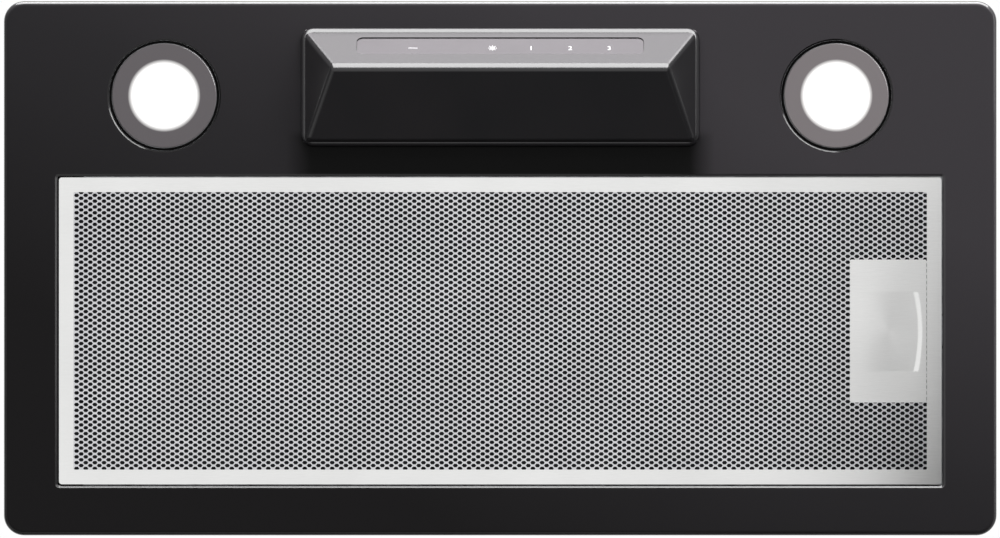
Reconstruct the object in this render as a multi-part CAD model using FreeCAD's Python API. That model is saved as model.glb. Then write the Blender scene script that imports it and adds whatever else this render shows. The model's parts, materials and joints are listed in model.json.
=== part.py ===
import FreeCAD, Part
import math
import os

V = FreeCAD.Vector

# Range hood insert, installed the right way up: +Z is up, +X runs along its width, and -Y is
# the cook's side. The origin is the middle of the seating face that meets the cabinet's
# underside, so the fascia hangs below z = 0 and the body goes up into the cabinet.
# All sizes are in millimetres.

# Fascia panel: a pressed steel tray
panel_width = 524.0
panel_depth = 282.0
panel_drop = 8.0
panel_sheet = 1.2
panel_corner_r = 10.7
panel_edge_r = 2.8

# Body: a folded steel box that passes through the cabinet's cut-out
body_width = 488.0
body_depth = 246.0
body_height = 180.0
body_sheet = 0.8
body_slip = 0.5
foot_width = 6.0
foot_setback = 8.0
body_corner_r = 1.6

# Grease filter cassette and its opening
filter_width = 465.5
filter_depth = 161.8
filter_thick = 7.5
filter_y = 33.0
filter_wall = 0.9
border_x = 7.7
border_y = 7.7
filter_gap_x = 0.75
filter_gap_y = 0.6
opening_bevel = 1.3
opening_bevel_rise = 0.85
opening_corner_r = 0.8
lip_top = 0.4
seat_thick = 1.0
seat_reach = 8.0
seat_clearance = 1.0
sheet_thick = 0.5
sheet_tuck = 2.0
mesh_layers = 4
mesh_thick = 0.4
hole_width = 13.0
hole_depth = 9.0
hole_pitch_x = 18.0
hole_pitch_y = 14.0

# Filter hinge
pivot_inset = 6.5
pivot_drop = 5.3
hinge_pin_r = 1.25
hinge_pin_inside = 4.0
hinge_pin_reach = 4.5
running_clearance = 0.06
hinge_block_width = 8.0
hinge_block_depth = 5.2
hinge_block_top = 2.6
hinge_hole_slip = 0.3

# Latch
handle_width = 40.3
handle_depth = 75.4
handle_x = 204.65
handle_y = 33.1
handle_thick = 0.6
handle_corner_r = 0.8
latch_travel = 6.0
scoop_left = 204.5
scoop_right = 222.1
scoop_front = 12.5
scoop_back = 54.4
scoop_depth = 4.6
scoop_arc_r = 88.7
scoop_sheet = 0.6
scoop_ramp_end = 5.0
housing_wall = 0.8
housing_gap = 0.6
housing_tuck = 0.4
notch_slip = 0.3
spring_room = 11.0
tongue_width = 16.0
tongue_thick = 0.6
tongue_reach = 4.5
tongue_nose = 0.9
tongue_slip = 0.4
tongue_root = 2.0
tongue_bend = 2.5
slot_side_room = 1.0
slot_top = -1.6
spring_strip = 0.4
spring_width = 3.0
spring_turns = 6
spring_reach = 6.0
spring_gap = 0.4
spring_lift = 1.2

# Console with the touch controls
console_width = 210.6
console_front = 127.0
console_back = 64.0
console_ridge_y = 105.6
console_ridge_half = 87.6
console_height = 24.0
console_eave = 5.0
console_wall = 2.2
console_fillet = 4.0
skirt_height = 3.4
skirt_edge_r = 3.0
skirt_corner_r = 7.0
window_width = 150.6
window_height = 13.4
window_corner_r = 3.4
window_thick = 1.6
window_recess = 0.5
window_slip = 0.15
window_along = 15.0
board_width = 160.0
board_height = 17.0
board_thick = 1.6
board_depth = 5.5
board_offset = 2.0
board_corner_r = 1.5
led_spacing = 20.5
led_count = 5
led_size = 2.5
led_height = 1.2
led_offset = 5.0
led_corner_r = 0.3
post_r = 3.4
post_x = 85.0
post_front_y = 116.0
post_back_y = 76.0
post_front_length = 5.0
post_back_length = 7.0
console_screw_r = 1.5
screw_slip = 0.05
console_screw_head_r = 2.8
console_screw_head = 1.8
console_screw_gap = 1.5
screw_hole_slip = 0.3
wire_window_width = 150.0
wire_window_depth = 26.0

# Lamps
lamp_x = 177.3
lamp_y = 91.1
lamp_lens_r = 27.5
lamp_hole_r = 29.2
lamp_bevel_r = 30.0
lamp_glow_r = 18.0
lamp_lens_rise = 0.3
lamp_shoulder_r = 26.0
lamp_lens_thick = 2.8
lamp_lens_edge_r = 0.5
lamp_lens_slip = 0.1
lamp_flange_r = 30.4
lamp_flange_thick = 1.5
lamp_cup_wall = 1.5
lamp_cup_height = 21.0
lamp_reflector_wall = 0.8
lamp_reflector_gap = 2.0
lamp_rim_slip = 0.2
lamp_board_thick = 1.6
lamp_board_slip = 2.0
lamp_chip_thick = 0.4
lamp_emitter_r = 8.0
lamp_fin_count = 9
lamp_fin_height = 7.0
lamp_fin_thick = 1.2
lamp_fin_setback = 0.8
lamp_fin_root = 0.2
lamp_clip_width = 8.0
lamp_clip_strip = 0.6
lamp_clip_top = 15.0
lamp_clip_bend = 8.0
lamp_clip_knee = (6.0, 2.5)
lamp_clip_toe = 9.0

# Front channel that keeps the electrics out of the air path
channel_y = 57.2
channel_top = 58.0
channel_foot = 5.0
channel_hole_inset = 25.0

# Blower: scroll, double-inlet wheel and motor on one horizontal axis along X
blower_y = 30.0
blower_z = 98.0
scroll_half = 62.0
scroll_wall = 2.0
scroll_r = 72.0
scroll_step = 7.0
tongue_angle = 8.0
tongue_top = 4.0
seam_rib = 2.6
seam_half = 2.0
inlet_hole_r = 58.0
inlet_flange_r = 63.0
inlet_thick = 1.5
inlet_throat_r = 51.5
inlet_reach = 8.0
inlet_slip = 0.2
inlet_curve_x = 0.35
inlet_curve_r = 0.25
wheel_r = 66.0
wheel_inner_r = 54.5
wheel_half = 50.0
wheel_ring_width = 2.5
blade_count = 40
blade_thick = 0.9
blade_sweep = 9.0
blade_sweep_share = 0.25
blade_overlap = 0.5
wheel_ring_lip = 1.0
hub_disc_x = -2.0
hub_disc_thick = 2.0
hub_r = 10.0
hub_left = -12.0
hub_right = 5.0
shaft_r = 4.0
shaft_left = -14.0
shaft_right = 62.0
motor_r = 44.0
bell_inner_left = 8.0
stator_left = 21.0
stator_right = 43.0
bell_outer_right = 56.0
neck_r = 24.0
rotor_r = 23.2
air_gap = 0.8
winding_length = 7.0
winding_inner_r = 27.0
winding_outer_r = 39.0
bearing_r = 8.0
bearing_width = 6.0
bell_wall = 2.0
bearing_seat = 2.0
bearing_offset = 4.0
shaft_slip = 0.6
bush_r = 5.0
bush_length = 4.0
bush_ring_r = 69.0
bracket_thick = 2.0
bracket_arm = 14.0
bracket_hub_r = 30.0
bracket_screw_r = 2.0
bracket_screw_length = 10.0
bracket_screw_head_r = 3.8
bracket_screw_head = 2.2
bracket_bore_slip = 1.0
capacitor_r = 15.0
capacitor_length = 52.0
capacitor_x = 160.0
capacitor_y = 80.0
capacitor_edge_r = 2.0

# Outlet collar with its two non-return flaps
collar_r = 74.5
collar_wall = 2.5
collar_height = 35.0
collar_flange = 170.0
collar_flange_thick = 2.0
collar_corner_r = 12.0
collar_screw_spread = 75.0
collar_screw_r = 2.0
collar_screw_head_r = 3.8
collar_screw_head = 2.2
collar_screw_length = 6.0
collar_chamfer = 1.0
flap_rod_inset = 1.0
outlet_hole_r = 70.0
flap_height = 8.0
flap_slip = 1.5
flap_thick = 1.2
flap_root = 4.4
flap_rod_r = 1.5
knuckle_r = 3.0
knuckle_length = 16.0
knuckle_inner_x = 20.0
knuckle_outer_x = 50.0
flap_ledge_width = 3.5
flap_ledge_thick = 1.2
flap_ledge_gap = 0.5

# Terminal box on the roof
box_x = 150.0
box_y = -20.0
box_width = 100.0
box_depth = 80.0
box_height = 42.0
box_wall = 2.0
box_corner_r = 4.0
box_lid_thick = 2.2
box_lid_edge_r = 1.2
spigot_slip = 0.2
spigot_depth = 2.0
spigot_corner_r = 1.0
box_wire_hole_r = 9.0
block_width = 46.0
block_depth = 20.0
block_height = 18.0
block_offset = 12.0
block_ways = 4
block_well_r = 2.6
block_well_floor = 10.0
gland_z = 20.0
gland_thread_r = 8.0
gland_bore_r = 3.7
gland_hex = 22.0
gland_collar_length = 6.0
gland_nut_length = 12.0
gland_inside_length = 6.0
gland_ring = 3.5
gland_edge_r = 3.0

# Fixings of the body in the cabinet
side_hole_r = 2.6
side_hole_spacing = 140.0
side_hole_z = 34.0
clip_width = 30.0
clip_strip = 0.8
clip_low = 14.0
clip_belly = 26.0
clip_high = 58.0
clip_top = 72.0
clip_bulge = 7.0
clip_toe = 1.2
rivet_r = 2.4
rivet_head = 1.2

# Studs and nuts that hold the body's feet on the fascia
stud_r = 1.5
stud_length = 5.0
nut_flats = 5.4
nut_height = 2.4
stud_x = 240.0
stud_rows = (-100.0, -20.0, 92.0)

# How far a cutting body passes a face, so that the cut goes clean through
past = 1.0

# Derived places
plate_low = -panel_drop
plate_top = plate_low + panel_sheet
opening_width = filter_width + 2 * filter_gap_x
opening_depth = filter_depth + 2 * filter_gap_y
filter_left = -filter_width / 2
filter_right = filter_width / 2
filter_low = plate_low
filter_top = filter_low + filter_thick
pivot_x = filter_left + pivot_inset
pivot_z = -pivot_drop
window_face_width = filter_width - 2 * border_x
window_face_depth = filter_depth - 2 * border_y
front_sheet_low = filter_low + filter_wall
rear_sheet_top = filter_top - filter_wall
roof_low = body_height - body_sheet
outlet_front = -scroll_step - (scroll_r + 2 * scroll_step)
outlet_y = blower_y + (outlet_front + tongue_top) / 2
collar_base = body_height + collar_flange_thick
flap_z = collar_base + flap_height

shapes = {}


def outline(width, depth, r, z=0.0, cx=0.0, cy=0.0):
    """Closed wire of a rectangle with round corners, level at height z."""
    hx, hy = width / 2, depth / 2
    if r <= 0:
        corners = [V(cx - hx, cy - hy, z), V(cx + hx, cy - hy, z),
                   V(cx + hx, cy + hy, z), V(cx - hx, cy + hy, z)]
        return Part.makePolygon(corners + corners[:1])
    edges = []
    centres = [(1, -1), (1, 1), (-1, 1), (-1, -1)]
    starts = [-90, 0, 90, 180]
    arcs = []
    for (sx, sy), start in zip(centres, starts):
        mx, my = cx + sx * (hx - r), cy + sy * (hy - r)
        turn = [math.radians(start + step) for step in (0, 45, 90)]
        points = [V(mx + r * math.cos(a), my + r * math.sin(a), z) for a in turn]
        arcs.append(points)
    for number, points in enumerate(arcs):
        following = arcs[(number + 1) % len(arcs)]
        edges.append(Part.Arc(*points).toShape())
        edges.append(Part.LineSegment(points[2], following[0]).toShape())
    return Part.Wire(edges)


def slab(width, depth, r, low, high, cx=0.0, cy=0.0):
    """Flat plate or block with round vertical corners."""
    face = Part.Face(outline(width, depth, r, low, cx, cy))
    return face.extrude(V(0, 0, high - low))


def block(x0, x1, y0, y1, z0, z1):
    return Part.makeBox(x1 - x0, y1 - y0, z1 - z0, V(x0, y0, z0))


def rod(r, start, length, direction):
    return Part.makeCylinder(r, length, start, direction)


def tube(outer_r, inner_r, start, length, direction):
    return rod(outer_r, start, length, direction).cut(rod(inner_r, start, length, direction))


def profile(points, normal_length):
    """Prism of a closed polygon, carried along a vector."""
    return Part.Face(Part.makePolygon(points + points[:1])).extrude(normal_length)


def strip(points, thick, width, y_low):
    """Bent strip: a path in X and Z with an even thickness, carried along Y."""
    far = []
    for number, (x, z) in enumerate(points):
        before = points[max(number - 1, 0)]
        after = points[min(number + 1, len(points) - 1)]
        dx, dz = after[0] - before[0], after[1] - before[1]
        length = math.hypot(dx, dz)
        far.append((x - dz / length * thick, z + dx / length * thick))
    ring = [V(x, y_low, z) for x, z in points + far[::-1]]
    return profile(ring, V(0, width, 0))


def fuse(pieces):
    joined = pieces[0].multiFuse(pieces[1:])
    return joined.removeSplitter()


def group(pieces):
    return Part.makeCompound(pieces)


def mirrored(shape):
    return shape.mirror(V(0, 0, 0), V(1, 0, 0))


def level_edges(shape, height):
    """Edges of a shape that lie level at one height."""
    found = []
    for edge in shape.Edges:
        box = edge.BoundBox
        if abs(box.ZMin - height) < 0.01 and abs(box.ZMax - height) < 0.01:
            found.append(edge)
    return found


# ---- Fascia -------------------------------------------------------------------------------

def fascia_panel():
    sheet = panel_sheet
    outer = slab(panel_width, panel_depth, panel_corner_r, plate_low, 0)
    outer = outer.makeFillet(panel_edge_r, level_edges(outer, plate_low))
    hollow = slab(panel_width - 2 * sheet, panel_depth - 2 * sheet, panel_corner_r - sheet,
                  plate_top, -sheet)
    hollow = hollow.makeFillet(panel_edge_r - sheet, level_edges(hollow, plate_top))
    mouth = slab(body_width + 2 * body_slip, body_depth + 2 * body_slip, 2, -sheet, 0)
    panel = outer.cut([hollow, mouth])
    lip = slab(opening_width + 2 * sheet, opening_depth + 2 * sheet, 2, plate_top, lip_top,
               cy=filter_y)
    panel = fuse([panel, lip])
    cuts = [slab(opening_width, opening_depth, opening_corner_r, plate_low, lip_top,
                 cy=filter_y)]
    wide = outline(opening_width + 2 * opening_bevel, opening_depth + 2 * opening_bevel,
                   opening_corner_r + opening_bevel, plate_low, cy=filter_y)
    narrow = outline(opening_width, opening_depth, opening_corner_r,
                     plate_low + opening_bevel_rise, cy=filter_y)
    cuts.append(Part.makeLoft([wide, narrow], True, True))
    for side in (-1, 1):
        centre = V(side * lamp_x, -lamp_y, plate_low)
        cuts.append(Part.makeCone(lamp_bevel_r, lamp_hole_r, sheet, centre))
    cuts.append(slab(wire_window_width, wire_window_depth, 3, plate_low, plate_top,
                     cy=-(post_front_y + post_back_y) / 2))
    cuts += [rod(console_screw_r + screw_hole_slip, V(x, y, plate_low), sheet, V(0, 0, 1))
             for x, y, _ in console_posts()]
    for y in hinge_ends():
        cuts.append(rod(hinge_pin_r + hinge_hole_slip, V(pivot_x, y - hinge_block_depth, pivot_z),
                        2 * hinge_block_depth, V(0, 1, 0)))
    cuts.append(tongue_slot())
    return panel.cut(cuts)


def hinge_ends():
    """Y of the opening's front and back edges, where the hinge pins pass."""
    return [filter_y - opening_depth / 2, filter_y + opening_depth / 2]


def tongue_slot():
    """Slot in the opening's right lip for the latch tongue."""
    half = tongue_width / 2 + slot_side_room
    edge = opening_width / 2
    return block(edge - past, edge + panel_sheet + past, handle_y - half, handle_y + half,
                 plate_top + tongue_slip, slot_top)


def fascia_studs():
    studs = []
    for side in (-1, 1):
        for y in stud_rows:
            studs.append(rod(stud_r, V(side * stud_x, y, plate_top), stud_length, V(0, 0, 1)))
    return group(studs)


def hexagon(flats, height, centre):
    corner = flats / math.sqrt(3)
    points = []
    for step in range(6):
        angle = math.radians(60 * step + 30)
        points.append(centre + V(corner * math.cos(angle), corner * math.sin(angle), 0))
    return profile(points, V(0, 0, height))


def fascia_nuts():
    nuts = []
    low = plate_top + body_sheet
    for side in (-1, 1):
        for y in stud_rows:
            centre = V(side * stud_x, y, low)
            hole = rod(stud_r + screw_slip, centre, nut_height, V(0, 0, 1))
            nuts.append(hexagon(nut_flats, nut_height, centre).cut(hole))
    return group(nuts)


# ---- Body ---------------------------------------------------------------------------------

def body_shell():
    sheet = body_sheet
    outer = slab(body_width, body_depth, body_corner_r, plate_top, body_height)
    inner = slab(body_width - 2 * sheet, body_depth - 2 * sheet, body_corner_r - sheet, plate_top,
                 roof_low)
    shell = outer.cut(inner)
    feet = []
    for side in (-1, 1):
        edge = side * (body_width / 2 - sheet)
        x0, x1 = sorted((edge, edge - side * foot_width))
        reach = body_depth / 2 - foot_setback
        feet.append(block(x0, x1, -reach, reach, plate_top, plate_top + sheet))
    shell = fuse([shell] + feet)
    cuts = [rod(outlet_hole_r, V(0, outlet_y, roof_low), sheet, V(0, 0, 1)),
            rod(box_wire_hole_r, V(box_x, box_y, roof_low), sheet, V(0, 0, 1))]
    for side in (-1, 1):
        for row in (-1, 1):
            start = V(side * body_width / 2, row * side_hole_spacing / 2, side_hole_z)
            cuts.append(rod(side_hole_r, start, 2 * sheet, V(-side, 0, 0)))
        for y in stud_rows:
            cuts.append(rod(stud_r + screw_slip, V(side * stud_x, y, plate_top), sheet,
                            V(0, 0, 1)))
    for x, y in collar_screw_places():
        cuts.append(rod(collar_screw_r + screw_slip, V(x, y, roof_low), sheet, V(0, 0, 1)))
    return shell.cut(cuts)


def front_channel():
    """Folded partition behind the lamps and the console: wall, shelf and foot."""
    sheet = body_sheet
    half = body_width / 2 - sheet - body_slip
    front = -body_depth / 2 + sheet + body_slip
    wall = block(-half, half, -channel_y - sheet, -channel_y, plate_top + sheet, channel_top)
    shelf = block(-half, half, front, -channel_y, channel_top - sheet, channel_top)
    clear = pivot_x + hinge_block_width
    foot = block(clear, -clear, -channel_y - sheet, -channel_y + channel_foot, plate_top,
                 plate_top + sheet)
    channel = fuse([wall, shelf, foot])
    hole = rod(box_wire_hole_r, V(box_x, -channel_y - channel_hole_inset, channel_top - sheet), sheet,
               V(0, 0, 1))
    return channel.cut(hole)


def filter_seat():
    """Flat U-shaped rail above the cassette; its left end stays open for the hinge."""
    left = pivot_x + (filter_top - pivot_z) + seat_clearance
    right = opening_width / 2 + panel_sheet
    half = opening_depth / 2 + panel_sheet
    low, high = lip_top, lip_top + seat_thick
    outer = block(left, right, filter_y - half, filter_y + half, low, high)
    inner = block(left - past, right - seat_reach, filter_y - half + seat_reach,
                  filter_y + half - seat_reach, low, high)
    return outer.cut(inner)


def filter_hinge_blocks():
    blocks = []
    for side, edge in zip((-1, 1), hinge_ends()):
        near = edge + side * panel_sheet
        y0, y1 = sorted((near, near + side * hinge_block_depth))
        half = hinge_block_width / 2
        body = block(pivot_x - half, pivot_x + half, y0, y1, plate_top,
                     pivot_z + hinge_block_top)
        bore = rod(hinge_pin_r + running_clearance, V(pivot_x, y0, pivot_z), y1 - y0,
                   V(0, 1, 0))
        blocks.append(body.cut(bore))
    return group(blocks)


def side_clips():
    """Sprung leaf on each side wall that bears on the edge of the cabinet's cut-out."""
    wall = body_width / 2
    path = [(wall, clip_top), (wall, clip_high), (wall + clip_bulge, clip_belly),
            (wall + clip_toe, clip_low)]
    right = strip(path, clip_strip, clip_width, -clip_width / 2)
    return group([right, mirrored(right)])


def side_clip_rivets():
    rivets = []
    wall = body_width / 2
    height = (clip_top + clip_high) / 2
    for side in (-1, 1):
        for y in (-clip_width / 4, clip_width / 4):
            start = V(side * (wall + clip_strip), y, height)
            head = rod(rivet_r, start, rivet_head, V(side, 0, 0))
            rivets.append(head.makeFillet(rivet_head * 0.6, round_edges(head, start, side)))
    return group(rivets)


def round_edges(head, start, side):
    """The outer rim of a rivet head."""
    outer = start.x + side * rivet_head
    return [edge for edge in head.Edges
            if abs(edge.BoundBox.XMin - outer) < 0.01 and abs(edge.BoundBox.XMax - outer) < 0.01]


# ---- Grease filter ------------------------------------------------------------------------

def filter_frame():
    """Folded channel section that runs round the cassette, open towards its middle."""
    outer = slab(filter_width, filter_depth, 1.5, filter_low, filter_top, cy=filter_y)
    window = slab(window_face_width, window_face_depth, 0.6, filter_low, filter_top,
                  cy=filter_y)
    hollow = slab(filter_width - 2 * filter_wall, filter_depth - 2 * filter_wall, 0.8,
                  front_sheet_low, rear_sheet_top, cy=filter_y)
    frame = outer.cut([window, hollow])
    cuts = [pin.copy() for pin in hinge_pin_list()]
    half = tongue_width / 2 + tongue_slip
    cuts.append(block(filter_right - border_x - past, filter_right + past, handle_y - half,
                      handle_y + half, tongue_low() - tongue_slip,
                      tongue_low() + tongue_nose + tongue_thick + tongue_slip))
    return frame.cut(cuts)


def hinge_pin_list():
    pins = []
    for side in (-1, 1):
        edge = filter_y + side * filter_depth / 2
        start = V(pivot_x, edge - side * hinge_pin_inside, pivot_z)
        pins.append(rod(hinge_pin_r, start, hinge_pin_inside + hinge_pin_reach,
                        V(0, side, 0)))
    return pins


def holed_sheet(low, high, shift, notch):
    """Sheet with staggered six-sided holes; no hole meets the latch notch or the rim."""
    width = window_face_width + 2 * sheet_tuck
    depth = window_face_depth + 2 * sheet_tuck
    rim = outline(width, depth, 0.8, low, cy=filter_y)
    holes = []
    columns = int((window_face_width - hole_width) / hole_pitch_x)
    rows = int((window_face_depth - hole_depth) / hole_pitch_y)
    for column in range(columns + 1):
        for row in range(rows + 1 - column % 2):
            x = (column - columns / 2) * hole_pitch_x + shift
            y = filter_y + (row - (rows - column % 2) / 2) * hole_pitch_y
            if hits_notch(x, y, notch):
                continue
            ring = []
            for step in range(6):
                angle = math.radians(60 * step)
                ring.append(V(x + hole_width / 2 * math.cos(angle),
                              y + hole_depth / 2 * math.sin(angle) / math.sin(math.pi / 3),
                              low))
            holes.append(Part.makePolygon(ring + ring[:1]))
    face = Part.makeFace([rim] + holes, "Part::FaceMakerBullseye")
    sheet = face.extrude(V(0, 0, high - low))
    x0, x1, y0, y1 = notch
    return sheet.cut(block(x0, x1, y0, y1, low - past, high + past))


def hits_notch(x, y, notch):
    x0, x1, y0, y1 = notch
    reach_x, reach_y = hole_width / 2 + 2, hole_depth / 2 + 2
    return x0 - reach_x < x < x1 + reach_x and y0 - reach_y < y < y1 + reach_y


def housing_box(extra=0.0):
    """X and Y limits of the latch housing, which has room for the travel and the spring."""
    gap = housing_gap + housing_wall + extra
    x0 = scoop_left - 2 * scoop_sheet - latch_travel - spring_room + extra
    x1 = filter_right - border_x + housing_tuck
    y0 = scoop_front - scoop_sheet - gap
    y1 = scoop_back + scoop_sheet + gap
    return x0, x1, y0, y1


def filter_front_sheet():
    """Visible sheet; its notch is only as wide as the scoop and its travel need."""
    x0, _, y0, y1 = housing_box(notch_slip)
    notch = (x0, scoop_right + scoop_sheet + notch_slip, y0, y1)
    return holed_sheet(front_sheet_low, front_sheet_low + sheet_thick, 0.0, notch)


def inner_notch():
    """Notch for the latch housing, open to the cassette's right edge for the tongue."""
    x0, _, y0, y1 = housing_box(notch_slip)
    return x0 - 2 * notch_slip, filter_right, y0, y1


def filter_rear_sheet():
    return holed_sheet(rear_sheet_top - sheet_thick, rear_sheet_top, 0.0, inner_notch())


def filter_mesh_pack():
    first = front_sheet_low + sheet_thick
    last = rear_sheet_top - sheet_thick
    pitch = (last - first) / (mesh_layers + 1)
    sheets = []
    for layer in range(mesh_layers):
        low = first + (layer + 1) * pitch - mesh_thick / 2
        shift = hole_pitch_x / 4 * (1 if layer % 2 else -1)
        sheets.append(holed_sheet(low, low + mesh_thick, shift, inner_notch()))
    return group(sheets)


def filter_hinge_pins():
    return group(hinge_pin_list())


# ---- Latch --------------------------------------------------------------------------------

def tongue_low():
    """Underside of the tongue, just above the scoop's tray."""
    return filter_low + scoop_depth - tongue_slip


def scoop(grow):
    """Wedge-shaped finger recess whose deep right end is a wide arc."""
    left, right = scoop_left - grow * 2, scoop_right + grow
    low = filter_low - 0.01
    floor = filter_low + scoop_depth + grow
    front = scoop_front - grow
    ramp = profile([V(left, front, low), V(right + past, front, low), V(right + past, front, floor),
                    V(right - scoop_ramp_end, front, floor)],
                   V(0, scoop_back - scoop_front + 2 * grow, 0))
    centre = V(scoop_right - scoop_arc_r, (scoop_front + scoop_back) / 2, low)
    arc = rod(scoop_arc_r + grow, centre, floor - low, V(0, 0, 1))
    return ramp.common(arc)


def latch_handle():
    low = filter_low
    plate = slab(handle_width, handle_depth, handle_corner_r, low, low + handle_thick,
                 handle_x, handle_y)
    above = block(filter_left, filter_right, scoop_front - past, scoop_back + past, low,
                  low + scoop_depth + past)
    body = fuse([plate, scoop(scoop_sheet).common(above)])
    return body.cut(scoop(0.0))


def latch_housing():
    """Open-bottomed box in the cassette that carries the sliding handle."""
    x0, x1, y0, y1 = housing_box()
    low = front_sheet_low + sheet_thick
    high = rear_sheet_top
    wall = housing_wall
    outer = block(x0, x1, y0, y1, low, high)
    inner = block(x0 + wall, x1 - wall, y0 + wall, y1 - wall, low, high - wall)
    half = tongue_width / 2 + housing_gap
    tongue_gap = block(x1 - wall - past, x1 + past, handle_y - half, handle_y + half, low,
                       tongue_low() + tongue_thick + tongue_slip)
    return outer.cut([inner, tongue_gap])


def latch_tongue():
    """Spring-steel strip on the tray's end wall; its turned-up nose catches the lip."""
    low = tongue_low()
    start = scoop_right + scoop_sheet
    end = opening_width / 2 + tongue_reach
    path = [(start + 0.01, low), (end - tongue_bend, low), (end, low + tongue_nose)]
    blade = strip(path, tongue_thick, tongue_width, handle_y - tongue_width / 2)
    root = block(start, start + tongue_root, handle_y - tongue_width / 2,
                 handle_y + tongue_width / 2, low - tongue_root, low + tongue_thick)
    return fuse([blade, root]).cut(scoop(scoop_sheet))


def latch_spring():
    """Flat zigzag spring between the housing's left wall and the handle's tray."""
    left = housing_box()[0] + housing_wall
    right = scoop_left - 2 * scoop_sheet - spring_gap
    pitch = (right - left) / spring_turns
    low = front_sheet_low + sheet_thick + spring_lift
    rise = spring_strip / 2 / math.sin(math.atan2(pitch, 2 * spring_reach))
    path = [(left + step * pitch, handle_y + (spring_reach if step % 2 else -spring_reach))
            for step in range(spring_turns + 1)]
    ring = [V(x, y + rise, low) for x, y in path]
    ring += [V(x, y - rise, low) for x, y in path[::-1]]
    return profile(ring, V(0, 0, spring_width))


# ---- Console ------------------------------------------------------------------------------

def inset_polygon(points, insets):
    """Polygon whose sides move inwards, each by its own inset."""
    following = points[1:] + points[:1]
    area = sum(x0 * y1 - x1 * y0 for (x0, y0), (x1, y1) in zip(points, following))
    turn = 1 if area > 0 else -1
    lines = []
    for (x0, y0), (x1, y1), inset in zip(points, following, insets):
        length = math.hypot(x1 - x0, y1 - y0)
        nx, ny = -turn * (y1 - y0) / length, turn * (x1 - x0) / length
        lines.append((nx, ny, nx * x0 + ny * y0 + inset))
    corners = []
    for (a, b, c), (d, e, f) in zip(lines[-1:] + lines[:-1], lines):
        det = a * e - b * d
        corners.append(((c * e - b * f) / det, (a * f - c * d) / det))
    return corners


def round_wire(points, radii, place):
    """Closed wire of a polygon with round corners; place turns two numbers into a point."""
    corners = []
    for number, ((x, y), r) in enumerate(zip(points, radii)):
        if r == 0:
            corners.append([place(x, y)])
            continue
        (px, py), (nx, ny) = points[number - 1], points[(number + 1) % len(points)]
        a, b = V(px - x, py - y, 0).normalize(), V(nx - x, ny - y, 0).normalize()
        half = a.getAngle(b) / 2
        run = r / math.tan(half)
        middle = V(a + b).normalize() * (r / math.sin(half) - r)
        corners.append([place(x + a.x * run, y + a.y * run),
                        place(x + middle.x, y + middle.y),
                        place(x + b.x * run, y + b.y * run)])
    edges = []
    for corner, following in zip(corners, corners[1:] + corners[:1]):
        if len(corner) == 3:
            edges.append(Part.Arc(*corner).toShape())
        edges.append(Part.LineSegment(corner[-1], following[0]).toShape())
    return Part.Wire(edges)


def console_lean():
    """How far an end face leans inwards for each millimetre of height."""
    return (console_width / 2 - console_ridge_half) / console_height


def hip_solid(inset, ridge_r, end_r):
    """Wedge with hipped ends: the console's outer form, or its hollow when inset."""
    foot = plate_low
    back = console_back + console_eave * console_lean()
    section = inset_polygon([(-console_front, foot), (-console_ridge_y, foot - console_height),
                             (-back, foot - console_eave), (-console_back, foot)],
                            [inset, inset, inset, 0])
    half, deep = console_width / 2, console_height + past
    reach = half - deep * console_lean()
    ends = inset_polygon([(-half, foot), (-reach, foot - deep), (reach, foot - deep),
                          (half, foot)], [inset, 0, inset, 0])
    along = round_wire(section, [0, ridge_r, ridge_r, 0], lambda y, z: V(-half, y, z))
    across = round_wire(ends, [0] * 4, lambda x, z: V(x, -console_front, z))
    prism = Part.Face(along).extrude(V(2 * half, 0, 0))
    body = prism.common(Part.Face(across).extrude(V(0, console_front, 0)))
    if end_r == 0:
        return body
    rims = [edge for edge in body.Edges
            if edge.BoundBox.ZMin < foot - 0.1 and all(on_end_face(v) for v in edge.Vertexes)]
    return body.makeFillet(end_r, rims)


def on_end_face(vertex):
    """True for a corner that lies on one of the console's leaning ends."""
    edge = console_width / 2 - (plate_low - vertex.Z) * console_lean()
    return abs(abs(vertex.X) - edge) < 0.01


def window_placement():
    """Places a shape on the console's front face: x along it, y up the slope, z inwards."""
    run = console_front - console_ridge_y
    slope = math.degrees(math.atan2(-console_height, run))
    length = math.hypot(run, console_height)
    share = window_along / length
    origin = V(0, -console_front + share * run, plate_low - share * console_height)
    return FreeCAD.Placement(origin, FreeCAD.Rotation(V(1, 0, 0), slope))


def on_front_face(shape):
    placed = shape.copy()
    placed.Placement = window_placement().multiply(placed.Placement)
    return placed


def console_posts():
    """X, Y and length of the four screw posts inside the console."""
    return [(side * post_x, -y, length)
            for side in (-1, 1)
            for y, length in ((post_front_y, post_front_length), (post_back_y, post_back_length))]


def console_cover():
    centre_y = -(console_front + console_back) / 2
    deep = plate_low - console_height - past
    corners = slab(console_width, console_front - console_back, skirt_corner_r, deep,
                   plate_low, cy=centre_y)
    wedge = hip_solid(0.0, console_fillet, console_fillet).common(corners)
    skirt = slab(console_width, console_front - console_back, skirt_corner_r,
                 plate_low - skirt_height, plate_low, cy=centre_y)
    skirt = skirt.makeFillet(skirt_edge_r, level_edges(skirt, plate_low - skirt_height))
    posts = [rod(post_r, V(x, y, plate_low), console_height, V(0, 0, -1))
             for x, y, _ in console_posts()]
    hollow = hip_solid(console_wall, 0, 0).cut(posts)
    body = fuse([wedge, skirt]).cut(hollow)
    window = slab(window_width + 2 * window_slip, window_height + 2 * window_slip,
                  window_corner_r, -past, console_wall + past)
    bores = [rod(console_screw_r + screw_slip, V(x, y, plate_low), length, V(0, 0, -1))
             for x, y, length in console_posts()]
    return body.cut([on_front_face(window)] + bores)


def touch_window():
    pane = slab(window_width, window_height, window_corner_r, window_recess,
                window_recess + window_thick)
    return on_front_face(pane)


def control_board():
    board = slab(board_width, board_height, board_corner_r, board_depth,
                 board_depth + board_thick, cy=board_offset)
    return on_front_face(board)


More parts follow.
